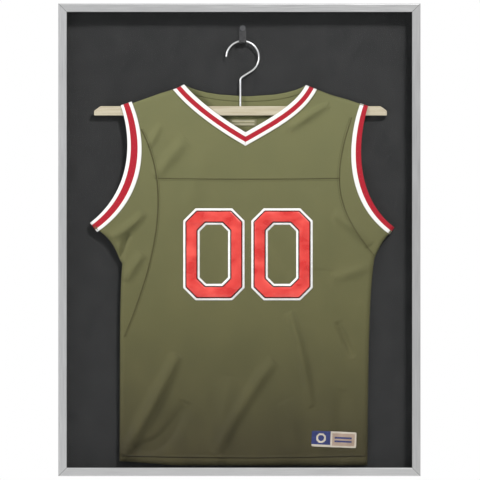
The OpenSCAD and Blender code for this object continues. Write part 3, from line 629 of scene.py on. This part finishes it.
def back_point(u, v, lift=0.0, share=None):
    """Points of the back's outer surface, lift millimetres proud of the cloth."""
    return cloth_point(u, v, back_depth(u, v) + lift, share)


def inside_back(u, v, lift=0.0, share=None):
    """Points on the back's inner face, which shows through the neck."""
    return back_point(u, v, -CLOTH_MM - lift, share)


# ---- mesh building blocks

GARMENT = bpy.data.collections.new("garment")  # what the modelling light shines on


def new_piece(name, mesh, materials, smooth_faces=True):
    """A piece that rides on the hanger and is lit by the modelling light."""
    piece = add_object(name, mesh)
    GARMENT.objects.link(piece)
    for material in materials:
        mesh.materials.append(material)
    if smooth_faces:
        mesh.shade_smooth()
    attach(piece, "hanger")
    return piece


def grid_mesh(name, points, flip=False, around=False, material_of=None):
    """A mesh over a rows x columns grid of points; around joins the last row to the first."""
    rows, columns = points.shape[:2]
    index = np.arange(rows * columns).reshape(rows, columns)
    upper = np.roll(index, -1, axis=0) if around else index[1:]
    lower = index if around else index[:-1]
    quads = np.stack([lower[:, :-1], lower[:, 1:], upper[:, 1:], upper[:, :-1]], axis=-1)
    if flip:
        quads = quads[..., ::-1]
    mesh = bpy.data.meshes.new(name)
    mesh.from_pydata(points.reshape(-1, 3).tolist(), [], quads.reshape(-1, 4).tolist())
    if material_of is not None:
        slots = np.broadcast_to(material_of, quads.shape[:2]).reshape(-1)
        mesh.polygons.foreach_set("material_index", slots.astype(np.int32))
    return mesh


def built_mesh(name, builder):
    """The mesh that a builder holds; the builder is then given up."""
    mesh = bpy.data.meshes.new(name)
    builder.to_mesh(mesh)
    builder.free()
    return mesh


def join(name, parts):
    """One mesh from several, welded where their edges meet."""
    builder = bmesh.new()
    for part in parts:
        builder.from_mesh(part)
        bpy.data.meshes.remove(part)
    bmesh.ops.remove_doubles(builder, verts=builder.verts, dist=0.02 * MM)
    return built_mesh(name, builder)


def thicken(piece, thickness_mm):
    """Thickness on the side away from the faces' normals, so the outside stays where it is."""
    modifier = piece.modifiers.new("cloth thickness", "SOLIDIFY")
    modifier.thickness = thickness_mm * MM
    modifier.offset = -1.0
    modifier.use_even_offset = False
    return piece


def round_edges(piece, width_mm, segments):
    modifier = piece.modifiers.new("rounded edges", "BEVEL")
    modifier.width = width_mm * MM
    modifier.segments = segments
    modifier.limit_method = "ANGLE"
    modifier.angle_limit = math.radians(40)
    return piece


END_STEPS = np.array([0.0, 0.6, 1.6, 3.0, 5.0, 7.5])  # rows near an end that turns over
END_MM = 10  # where even spacing starts


def end_dense(count, length, both=True):
    """Positions from 0 to length, evenly spaced but closer at the ends that turn over."""
    if not both:
        return np.concatenate([END_STEPS, np.linspace(END_MM, length, count)])
    middle = np.linspace(END_MM, length - END_MM, count)
    return np.concatenate([END_STEPS, middle, length - END_STEPS[::-1]])


# ---- jersey body

ROWS = 200
COLUMNS = 72  # on each side of the middle


def body_rows(neck_left, neck_right, neck_bottom):
    """Heights at the sides and at the middle for each row, and the neck's edge on each row."""
    side_v = end_dense(ROWS, SHOULDER_V)[len(END_STEPS) - 1:]
    side_v[0] = 0
    top = neck_left[0, 1] - SHOULDER_V
    rows = []
    for v, lift in zip(side_v, smooth(side_v, 430, SHOULDER_V)):
        middle_v = v + top * lift
        pair = []
        for neck in (neck_left, neck_right):
            middle_u = neck_bottom[0]
            if middle_v > neck_bottom[1]:
                middle_u = np.interp(middle_v, neck[::-1, 1], neck[::-1, 0])
            pair.append((middle_u, middle_v))
        rows.append((v, pair))
    return rows


def body_half(side, rows):
    """(u, v) of one half of the front or back: rows from hem to shoulder, columns outwards."""
    points = []
    for v, pair in rows:
        middle_u, middle_v = pair[0] if side < 0 else pair[1]
        edge_u = float(edge(side, v))
        width = abs(edge_u - middle_u)
        steps = np.concatenate([np.linspace(0, width - END_MM, COLUMNS),
                                width - END_STEPS[::-1]])
        share = steps / width
        u = middle_u + side * steps
        level = middle_v + (v - middle_v) * share
        level = level + HEM_CORNER * smooth(-u, 100, 212) * (1 - smooth(level, 0, 60))
        points.append(np.stack([u, level], axis=-1))
    return np.array(points)


def jersey_panel(name, surface, necks, neck_bottom, outward_front, materials):
    """A front or back of the jersey: two halves joined down the middle below the neck."""
    rows = body_rows(*necks, neck_bottom)
    halves = []
    for points in (body_half(-1, rows)[:, ::-1], body_half(1, rows)):
        top = shoulder_line(points[..., 0])
        points[..., 1] = np.minimum(points[..., 1], top)
        halves.append(surface(points[..., 0], points[..., 1]))
    parts = [grid_mesh("half", half, flip=not outward_front) for half in halves]
    return thicken(new_piece(name, join(name, parts), materials), CLOTH_MM)


# ---- bands at neck and armholes

def stripe_slots(shares, columns):
    """Material index of each column, for stripes that take these shares of the width."""
    limits = np.cumsum([share for share, _ in shares])
    middles = (np.arange(columns) + 0.5) / columns
    return np.array([shares[int(np.searchsorted(limits, m))][1] for m in middles])


def band_lift(share):
    """A band's height across its width: flat stripes with a narrow dip between them."""
    return 0.75 + 0.25 * np.abs(np.sin(3 * math.pi * share)) ** 0.4


WHITE, RED = 0, 1
BAND_MM = 1.2  # thickness of the rib
BAND_COLUMNS = 25
TURN_MM = 7  # length over which a band's end turns over


def arm_band(name, hole, widths, side, stripes, surface, materials):
    """One face of an armhole band, from the shoulder fold to the fold at the armpit."""
    total = lengths(hole)[-1]
    swell = np.sin(math.pi * lengths(hole) / total)[:, None]
    width = side * (widths[0] + (widths[1] - widths[0]) * swell)
    positions = end_dense(90, total)
    share_along = quarter_round(positions, TURN_MM) * quarter_round(total - positions, TURN_MM)
    points = []
    for column in range(BAND_COLUMNS + 1):
        share = column / BAND_COLUMNS
        curve = offset(hole, width * share)
        line = along(curve, positions / total * lengths(curve)[-1])
        points.append(surface(line[:, 0], line[:, 1], band_lift(share), share_along))
    grid = np.stack(points, axis=1)
    flip = (side > 0) == (surface is front_point)
    mesh = grid_mesh(name, grid, flip, material_of=stripe_slots(stripes, BAND_COLUMNS)[None, :])
    return thicken(new_piece(name, mesh, materials), BAND_MM)


def neck_line(inner, distance):
    """The neck's edge moved into the cloth, run up to the shoulder fold and on to the mitre."""
    curve = offset(inner, distance)
    back_way = (curve[0] - curve[1]) / np.linalg.norm(curve[0] - curve[1])
    tries = curve[0] + back_way * np.linspace(0, 20, 81)[:, None]
    above = tries[:, 1] >= shoulder_line(tries[:, 0])
    start = tries[int(np.argmax(above))]
    way = curve[-1] - curve[-2]
    run = (V_POINT[0] - curve[-1, 0]) / way[0]
    return np.concatenate([[start], curve[1:], [curve[-1] + way * run]])


def neck_band(materials):
    """The striped V: two bands from the shoulders that meet in a mitre."""
    stripes = [(0.31, WHITE), (0.42, RED), (0.28, WHITE)]
    parts = []
    for inner, side in ((LEFT_NECK, -1), (RIGHT_NECK, 1)):
        points = []
        for column in range(BAND_COLUMNS + 1):
            share = column / BAND_COLUMNS
            curve = neck_line(inner, side * NECK_BAND * share)
            total = lengths(curve)[-1]
            positions = end_dense(46, total, both=False)
            line = along(curve, positions)
            turn = quarter_round(positions, TURN_MM)
            points.append(front_point(line[:, 0], line[:, 1], band_lift(share), turn))
        parts.append(grid_mesh("half", np.stack(points, axis=1), flip=side > 0,
                               material_of=stripe_slots(stripes, BAND_COLUMNS)[None, :]))
    return thicken(new_piece("neck_band", join("neck_band", parts), materials), BAND_MM)


SEAM_MM = 0.4  # thickness of a seam's ridge at its edges


def ribbon(name, points, width, lift, materials, surface=front_point, columns=5):
    """A narrow raised strip that follows the cloth along a curve of (u, v) points."""
    curve = np.asarray(points, float)
    rows = []
    for column in range(columns + 1):
        across = column / columns - 0.5
        line = offset(curve, -across * width)
        crown = lift * (1 - (2 * across) ** 4)
        rows.append(surface(line[:, 0], line[:, 1], 0.05 + SEAM_MM + crown))
    mesh = grid_mesh(name, np.stack(rows, axis=1))
    return thicken(new_piece(name, mesh, materials), SEAM_MM)


# ---- stitches

# A stitch's three cross-sections: place along it, and its width and height there, as shares.
STITCH_STATIONS = ((-0.5, 0.55, 0.25), (0.0, 1.0, 1.0), (0.5, 0.55, 0.25))


def stitches(name, lines, pitch, length, width, materials, lift=0.0, turn_deg=0.0,
             surface=front_point):
    """Sewn stitches along (u, v) lines: small closed half-round beads, laid on the cloth."""
    centres, ways = [], []
    for line in lines:
        curve = np.asarray(line, float)
        total = lengths(curve)[-1]
        spots = np.arange(pitch / 2, total, pitch)
        centre = along(curve, spots)
        ahead = along(curve, np.minimum(spots + 0.5, total)) - along(curve, spots - 0.5)
        centres.append(centre)
        ways.append(ahead / np.linalg.norm(ahead, axis=1)[:, None])
    centre = np.concatenate(centres)
    way = np.concatenate(ways)
    angle = math.radians(turn_deg)
    way = np.stack([way[:, 0] * math.cos(angle) - way[:, 1] * math.sin(angle),
                    way[:, 0] * math.sin(angle) + way[:, 1] * math.cos(angle)], axis=1)
    side = np.stack([-way[:, 1], way[:, 0]], axis=1)
    rings = []
    for position, wide, high in STITCH_STATIONS:
        middle = centre + way * position * length
        for across, up in ((-0.5, 0.0), (0.0, 0.6), (0.5, 0.0)):
            spot = middle + side * across * width * wide
            rings.append(surface(spot[:, 0], spot[:, 1], lift + up * width * high))
    points = np.stack(rings, axis=1)
    faces = []
    for station in (0, 3):
        for corner in range(3):
            following = (corner + 1) % 3
            faces.append((station + 3 + corner, station + 3 + following,
                          station + following, station + corner))
    faces += [(0, 1, 2), (8, 7, 6)]
    count = len(centre)
    all_faces = [tuple(9 * index + corner for corner in face)
                 for index in range(count) for face in faces]
    mesh = bpy.data.meshes.new(name)
    mesh.from_pydata(points.reshape(-1, 3).tolist(), [], all_faces)
    return new_piece(name, mesh, materials)


# ---- numbers

DIGIT_LOW, DIGIT_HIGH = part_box("number_base_left")
DIGIT_W = (DIGIT_HIGH.x - DIGIT_LOW.x) / MM
DIGIT_H = (DIGIT_HIGH.z - DIGIT_LOW.z) / MM
TOP_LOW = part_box("number_top_left")[0]
BORDER = (TOP_LOW.x - DIGIT_LOW.x) / MM
STROKE = 28  # width of a digit's stroke
OUTER_CUT = 21  # how much its corners are cut off outside and inside
INNER_CUT = 11
CUT_PER_INSET = 2 - math.sqrt(2)
TWILL_LIFT = 0.55  # outer faces of the white twill and the red satin above the cloth
SATIN_LIFT = 1.2
SATIN_PUFF = 1.5
TWILL_MM = 0.5  # thickness of each layer


def octagon(middle, half_width, half_height, cut):
    """Corners of an upright rectangle with its corners cut at 45 degrees."""
    u, v = middle
    wide, high = half_width - cut, half_height - cut
    corners = [(wide, half_height), (half_width, high), (half_width, -high),
               (wide, -half_height), (-wide, -half_height), (-half_width, -high),
               (-half_width, high), (-wide, half_height)]
    return np.array([(u + x, v + y) for x, y in corners])


def walk(corners, step=3.0):
    """Points around a closed outline, with the same share of each side for every outline."""
    points = []
    counts = [max(2, round(side / step)) for side in (OUTER_CUT * 1.4, DIGIT_H - 2 * OUTER_CUT,
                                                      OUTER_CUT * 1.4, DIGIT_W - 2 * OUTER_CUT)]
    for index in range(8):
        start, stop = corners[index], corners[(index + 1) % 8]
        count = counts[index % 4]
        share = np.arange(count)[:, None] / count
        points.append(start + (stop - start) * share)
    return np.concatenate(points)


def digit_outlines(node, inset):
    """Outer and inner outline of a block-style zero, drawn in from its edges by inset."""
    low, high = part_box(node)
    middle = ((low.x + high.x) / 2 / MM - JERSEY_X / MM, (low.z + high.z) / 2 / MM - HEM_Z / MM)
    outer = octagon(middle, DIGIT_W / 2 - inset, DIGIT_H / 2 - inset,
                    OUTER_CUT - inset * CUT_PER_INSET)
    inner = octagon(middle, DIGIT_W / 2 - STROKE + inset, DIGIT_H / 2 - STROKE + inset,
                    INNER_CUT + inset * CUT_PER_INSET)
    return outer, inner


def puckers(u, v):
    """Small dents of stitched satin."""
    slow = np.sin(u / 12 + 1.7 * np.sin(v / 21)) * np.sin(v / 15 + 1.2 * np.sin(u / 27))
    quick = np.sin(u / 4.4 - v / 6.2 + 1.9 * np.sin(v / 13))
    return 0.55 * slow + 0.06 * quick


def digit(name, node, inset, lift, puff, materials, columns):
    """A cloth digit that follows the front, its edges pressed down and its middle puffed."""
    outer, inner = (walk(outline) for outline in digit_outlines(node, inset))
    rows = []
    for column in range(columns + 1):
        share = column / columns
        line = outer + (inner - outer) * share
        rise = math.sin(math.pi * share) ** 0.6
        bulge = puff * rise * (0.6 + puckers(line[:, 0], line[:, 1]))
        rows.append(front_point(line[:, 0], line[:, 1], lift + bulge))
    mesh = grid_mesh(name, np.stack(rows, axis=1), around=True)
    piece = thicken(new_piece(name, mesh, materials), TWILL_MM)
    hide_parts(node)
    return piece


def closed_line(corners):
    return np.concatenate([walk(corners), corners[:1]])


# ---- labels

LABEL_MM = 0.4  # thickness of the woven labels


def patch(name, node, size, turn_deg, lift, materials, cells, tone_of, surface=front_point,
          corner=0.0):
    """A cloth patch at a node's middle, turned in its own plane; tone_of picks each cell's tone."""
    low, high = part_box(node)
    middle = (((low.x + high.x) / 2 - JERSEY_X) / MM, ((low.z + high.z) / 2 - HEM_Z) / MM)
    across = np.linspace(-0.5, 0.5, cells[0] + 1)
    up = np.linspace(-0.5, 0.5, cells[1] + 1)
    x, z = np.meshgrid(across, up)
    if corner:
        pull = 1 - corner * np.abs(2 * z) ** 8
        pull_z = 1 - corner * np.abs(2 * x) ** 8 * size[0] / size[1] * 0.5
        x, z = x * pull, z * pull_z
    angle = math.radians(turn_deg)
    u = middle[0] + x * size[0] * math.cos(angle) - z * size[1] * math.sin(angle)
    v = middle[1] + x * size[0] * math.sin(angle) + z * size[1] * math.cos(angle)
    crown = 0.25 * (1 - np.abs(2 * x) ** 6) * (1 - np.abs(2 * z) ** 6)
    middle_x = (across[:-1] + across[1:]) / 2
    middle_z = (up[:-1] + up[1:]) / 2
    slots = np.array([[tone_of(a, b) for a in middle_x] for b in middle_z])
    mesh = grid_mesh(name, surface(u, v, lift + crown), material_of=slots)
    piece = thicken(new_piece(name, mesh, materials), LABEL_MM)
    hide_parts(node)
    return piece


TAG_BLUE, TAG_CREAM, TAG_PALE = 0, 1, 2
TAG_SPLIT = -0.08  # where the blue field ends, as a share of the tag's width


def tag_tone(x, z):
    """Woven picture of the hem tag: a plain ring on blue, and plain bars on a cream block."""
    if x < TAG_SPLIT:
        if z < -0.34:
            return TAG_PALE
        ring = math.hypot((x + 0.29) * 2.8, z - 0.06)
        return TAG_PALE if 0.19 < ring < 0.31 else TAG_BLUE
    framed = abs(z) > 0.38 or x > 0.46 or x < TAG_SPLIT + 0.04
    bar = abs(abs(z) - 0.12) < 0.06 and TAG_SPLIT + 0.09 < x < 0.4
    return TAG_PALE if framed else TAG_BLUE if bar else TAG_CREAM


def label_tone(x, z):
    """Two plain pale bars on a tape of the jersey's colour."""
    return 1 if abs(abs(z) - 0.22) < 0.13 and abs(x) < 0.42 else 0


# ---- hanger

CURL_FROM = math.radians(176)  # the curl's open end and where it leaves for the bend
CURL_TO = math.radians(-58)
STEM_LEFT = 3.7 * MM  # the stem's distance left of the curl's middle
BEND_R = 8 * MM


def hook_line():
    """Centre line of the hook: a curl about the swing's axis, an S-bend, and the stem."""
    low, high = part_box("hanger_hook")
    joint = next(j for j in frame["joints"] if j["name"] == "hanger_swing")
    middle_x, middle_z = joint["pos_m"][0], joint["pos_m"][2]
    wire_r = (high.y - low.y) / 2
    curl_r = high.z - middle_z - wire_r
    stem_x = middle_x - STEM_LEFT
    angles = np.linspace(CURL_FROM, CURL_TO, 64)
    curl = np.stack([middle_x + curl_r * np.cos(angles), middle_z + curl_r * np.sin(angles)], 1)
    heading = np.array([math.sin(CURL_TO), -math.cos(CURL_TO)])
    turn = math.acos(-heading[1])
    drop = BEND_R * math.tan(turn / 2)
    reach = (stem_x - curl[-1, 0]) / heading[0]
    corner = curl[-1] + heading * reach
    centre = corner - heading * drop + BEND_R * np.array([-heading[1], heading[0]])
    first = corner - heading * drop - centre
    bend = []
    for angle in np.linspace(0, turn, 14):
        cos, sin = math.cos(angle), math.sin(angle)
        bend.append(centre + np.array([first[0] * cos - first[1] * sin,
                                       first[0] * sin + first[1] * cos]))
    stem = [(stem_x, z) for z in np.linspace(bend[-1][1], low.z, 12)[1:]]
    line = np.concatenate([curl, np.array(bend), np.array(stem)])
    return [(x, (low.y + high.y) / 2, z) for x, z in line], wire_r


def hook_piece(material):
    """The hanger's wire hook, swept along its centre line, with a rounded tip."""
    line, radius = hook_line()
    points = np.array(line)
    way = headings(points)
    depth = np.array([0.0, 1.0, 0.0])
    rings = []
    tip = [(-0.98, 0.2), (-0.8, 0.6), (-0.45, 0.9)]
    stations = [(points[0] + way[0] * radius * back, way[0], radius * size)
                for back, size in tip]
    stations += [(point, heading, radius) for point, heading in zip(points, way)]
    for centre, heading, size in stations:
        side = np.cross(heading, depth)
        angles = np.linspace(0, TAU, 25)[:-1]
        rings.append([centre + size * (math.cos(a) * depth + math.sin(a) * side)
                      for a in angles] + [centre + size * depth])
    builder = bmesh.new()
    part = grid_mesh("hook", np.array(rings))
    builder.from_mesh(part)
    bmesh.ops.remove_doubles(builder, verts=builder.verts, dist=0.001 * MM)
    bmesh.ops.holes_fill(builder, edges=builder.edges)
    bmesh.ops.recalc_face_normals(builder, faces=builder.faces)
    mesh = built_mesh("hook_wire", builder)
    piece = new_piece("hook_wire", mesh, [material])
    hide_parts("hanger_hook")
    return piece


def bar_piece(material):
    """The flat wooden bar, its top corners sloped and all edges eased."""
    slope_x, slope_z = 11 * MM, 8 * MM  # the cut at each top corner
    x0, x1, z0, z1 = BAR_LOW.x, BAR_HIGH.x, BAR_LOW.z, BAR_HIGH.z
    outline = [(x0, z0), (x1, z0), (x1, z1 - slope_z), (x1 - slope_x, z1),
               (x0 + slope_x, z1), (x0, z1 - slope_z)]
    points = [(x, y, z) for y in (BAR_LOW.y, BAR_HIGH.y) for x, z in outline]
    count = len(outline)
    front, back = range(count), range(2 * count - 1, count - 1, -1)
    sides = [(k, k + count, (k + 1) % count + count, (k + 1) % count) for k in front]
    mesh = bpy.data.meshes.new("wooden_bar")
    mesh.from_pydata(points, [], [tuple(front), tuple(back), *sides])
    piece = new_piece("wooden_bar", mesh, [material], smooth_faces=False)
    round_edges(piece, 1.2, 4)
    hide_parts("hanger_bar")
    return piece


# ---- the carried-over CAD nodes

def paint(material, *names):
    for name in names:
        data = NODE[name].data
        data.materials.clear()
        data.materials.append(material)


def paint_case():
    # Painted light: each side gets its own copy of the aluminium, painted lighter on the left and
    # bottom and darker on the right, as light falls on them.
    for side, along, side_light_share in (("left", "Z", 1.07), ("right", "Z", 0.95),
                                    ("top", "X", 1.0), ("bottom", "X", 1.05)):
        rail = brushed_aluminium(f"brushed_aluminium_{side}", along, side_light_share)
        paint(rail, f"case_rail_{side}", f"door_rail_{side}")
    zinc = plain_material("zinc_steel", (0.62, 0.63, 0.65), 0.34, 1.5, 0.03, 1.0, 0.16)
    paint(zinc, "corner_plates", "corner_screws", "panel_screws", "keyhole_plate_left",
          "keyhole_plate_right", "keyhole_screws", "case_leaf_screws", "door_leaf_screws",
          "corner_keys", "strike_lower", "strike_upper")
    hinge = plain_material("hinge_steel", (0.52, 0.52, 0.53), 0.36, 1.0, 0.03, 1.0, 0.14)
    paint(hinge, "hinge_pins", *(f"{side}_leaf_{place_name}" for side in ("case", "door")
                                 for place_name in ("bottom", "middle", "top")))
    bracket = plain_material("dark_bracket", (0.06, 0.06, 0.062), 0.42, 1.2, 0.06,
                             change=0.25, Coat_Weight=0.1)
    paint(bracket, "j_hook")
    paint(plain_material("dark_screw", (0.2, 0.2, 0.21), 0.35, 0.8, 0.03, 0.7), "j_hook_screw")
    paint(plain_material("catch_magnet", (0.035, 0.035, 0.037), 0.55, 0.8, 0.05),
          "catch_lower", "catch_upper")
    paint(plain_material("black_foam", (0.02, 0.02, 0.02), 0.9, 0.6, 0.25, change=0.3),
          "door_seal")
    paint(plain_material("black_bead", (0.018, 0.018, 0.018), 0.45, 0.8, 0.04),
          "glazing_bead")
    paint(acrylic_material(), "acrylic_panel")
    paint(felt_material(), "felt_lining")
    paint(hardboard_material(), "back_panel")


# ---- the dressed hanger

def build_jersey():
    knit = knit_material()
    white_rib = rib_material("rib_white", (0.93, 0.925, 0.915), (0.74, 0.73, 0.71))
    red_rib = rib_material("rib_red", (0.5, 0.012, 0.03), (0.32, 0.008, 0.018))
    band_tones = [white_rib, red_rib]
    # Olive thread for the seam stitches, also laid on the front's seam ridges as a painted shade
    # line.
    olive_thread_and_seam_shade = thread_material("olive_thread_and_seam_shade", (0.088, 0.08, 0.032))

    neck_left = neck_line(LEFT_NECK, -NECK_BAND / 2)
    neck_right = neck_line(RIGHT_NECK, NECK_BAND / 2)
    front = jersey_panel("jersey_front_cloth", front_point, (neck_left, neck_right),
                         neck_left[-1], True, [knit])
    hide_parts("jersey_front")
    back_left, back_right = BACK_NECK[:30], BACK_NECK[30:][::-1]
    low = BACK_NECK[np.argmin(BACK_NECK[:, 1])]
    back_necks = (np.concatenate([back_left, [low]]), np.concatenate([back_right, [low]]))
    back = jersey_panel("jersey_back_cloth", back_point, back_necks, low, False, [knit])
    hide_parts("jersey_back", "side_panel_left", "side_panel_right")

    neck = neck_band(band_tones)
    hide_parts("neck_trim")
    full = [(0.24, WHITE), (0.48, RED), (0.29, WHITE)]
    rolled = [(0.57, RED), (0.44, WHITE)]  # the outer white stripe turns out of sight
    bands = [arm_band(f"arm_band_{name}", hole, widths, side, stripes, surface, band_tones)
             for name, hole, widths, side, stripes, surface in (
                 ("left", LEFT_ARMHOLE, LEFT_BAND, 1, full, front_point),
                 ("right", RIGHT_ARMHOLE, RIGHT_BAND, -1, rolled, front_point),
                 ("left_behind", LEFT_ARMHOLE, LEFT_BAND, 1, full, back_point),
                 ("right_behind", RIGHT_ARMHOLE, RIGHT_BAND, -1, full, back_point))]
    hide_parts("arm_trim_left")
    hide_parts("arm_trim_right")
    return front, back, neck, bands, knit, olive_thread_and_seam_shade


def build_seams(knit, thread):
    """Seam ridges and their stitching on the front, the hem and inside the back's neck; the ridges
    on the front and the hem are coloured with dark thread, a painted shade line along each seam.
    """
    # Near-black colour for the hem's seam ridge: a painted shade line along the hem.
    hem_seam_shade = thread_material("hem_seam_shade", (0.016, 0.013, 0.006))
    yoke = bezier([(-150, 487), (-60, 485), (60, 485), (164, 487)], 70)
    left = bezier([(-173, 570), (-126, 480), (-138, 370), (-202, 218)], 60)
    right = bezier([(184, 590), (146, 480), (160, 430), (222, 356)], 60)
    hem = bezier([(-207, HEM_HIGH + 1), (-60, HEM_HIGH - 3), (60, HEM_HIGH - 3),
                  (208, HEM_HIGH + 1)], 90)
    neck_left = neck_line(LEFT_NECK, -NECK_BAND - 1.6)
    neck_right = neck_line(RIGHT_NECK, NECK_BAND + 1.6)
    # Painted shade: the yoke, panel and hem ridges take dark thread colours, so each seam shows as
    # a dark shaded line.
    seams = [ribbon(f"{name}_seam", line, width, lift, [tone])
             for name, line, width, lift, tone in (
                 ("yoke", yoke, 1.2, 0.25, thread), ("left_panel", left, 1.7, 0.35, thread),
                 ("right_panel", right, 1.2, 0.25, thread), ("hem", hem, 1.4, 0.25, hem_seam_shade))]
    seams.append(ribbon("back_neck_tape", offset(BACK_NECK, -4.6), 9.0, 0.5, [knit],
                        surface=inside_back, columns=8))
    beside = 3.2  # distance of the stitches from their seam
    lines = [offset(yoke, -beside), offset(left, beside), offset(right, -beside),
             offset(hem, -beside), neck_left[:-1], neck_right[:-1]]
    sewn = stitches("seam_stitches", lines, 3.0, 2.1, 0.75, [thread], 0.05)
    return seams, sewn


EDGE_TURN = 78  # degrees by which the edge stitches are turned across the edge


def build_numbers():
    pieces = []
    white = twill_material("white_twill", (0.93, 0.925, 0.915), (0.78, 0.77, 0.75), 0.6,
                           Sheen_Weight=0.15)
    # Painted light: the satin's broad 34 mm patches, from bright red to dark red, are painted
    # highlights and painted shade on the puffed satin.
    satin = twill_material("red_satin", (0.84, 0.085, 0.066), (0.58, 0.02, 0.019), 0.3, 0.9, 34,
                           Sheen_Weight=0.15, Coat_Weight=0.5, Coat_Roughness=0.2)
    # The satin's edge thread is near black, so its stitches are real stitches that also paint a
    # shade line along the satin's edge.
    red_thread_and_edge_shade = thread_material("red_thread_and_edge_shade", (0.05, 0.004, 0.006))
    white_thread = thread_material("white_thread", (0.75, 0.74, 0.7))
    for side in ("left", "right"):
        base, top = f"number_base_{side}", f"number_top_{side}"
        pieces.append(digit(f"number_twill_{side}", base, 0.0, TWILL_LIFT, 0.2, [white],
                            10))
        pieces.append(digit(f"number_satin_{side}", top, BORDER, SATIN_LIFT, SATIN_PUFF, [satin],
                            14))
        for layer, inset, pitch, length, width, thread, slot, lift in (
                ("satin", BORDER - 0.2, 0.8, 2.5, 0.95, red_thread_and_edge_shade, "red_satin", 1.15),
                ("twill", 0.9, 1.0, 1.9, 0.8, white_thread, "white_twill", 0.15)):
            lines = [closed_line(line) for line in digit_outlines(base, inset)]
            pieces.append(stitches(f"{layer}_edge_{side}", lines, pitch, length, width, [thread],
                                   lift, turn_deg=EDGE_TURN))
    return pieces


def build_labels():
    blue = twill_material("tag_blue", (0.02, 0.032, 0.15), (0.012, 0.02, 0.1), 0.55, 0.8)
    cream = twill_material("tag_cream", (0.4, 0.3, 0.235), (0.28, 0.205, 0.155), 0.6, 0.8)
    pale = twill_material("tag_pale", (0.6, 0.54, 0.45), (0.45, 0.4, 0.33), 0.6, 0.8)
    soft = twill_material("label_bars", (0.4, 0.37, 0.25), (0.3, 0.28, 0.19), 0.65, 0.8)
    tape = twill_material("label_tape", (0.2, 0.19, 0.1), (0.15, 0.14, 0.075), 0.65, 0.8)
    tag = patch("hem_tag_cloth", "hem_tag", (76, 27), -2.3, 0.8, [blue, cream, pale],
                (76, 27), tag_tone, corner=0.02)
    label = patch("neck_label_tape", "neck_label", (46, 12), 0, 0.5, [tape, soft],
                  (46, 24), label_tone, surface=inside_back)
    return tag, label


# ---- the whole scene

bpy.context.scene.view_settings.view_transform = "Standard"
add_camera()
add_world()
add_floor()
add_area_light("key", (0.36, -0.72, 0.66), 3.6, 0.62, 109, (1.0, 0.995, 0.985))
add_area_light("fill", (-0.8, -0.9, 0.1), 2.6, 1.6, 7, (0.95, 0.97, 1.0))
add_area_light("modelling", (-0.84, -0.46, 0.3), 3.0, 0.5, 62, (1.0, 1.0, 0.99), GARMENT)
paint_case()
hook_piece(plain_material("hook_wire", (0.9, 0.9, 0.91), 0.34, 6.0, 0.01, 0.7, 0.04))
bar_piece(wood_material())
front_cloth, back_cloth, neck_rib, arm_bands, knit_finish, seam_thread_and_shade = build_jersey()
seam_pieces, sewn_lines = build_seams(knit_finish, seam_thread_and_shade)
number_pieces = build_numbers()
hem_tag, neck_label = build_labels()
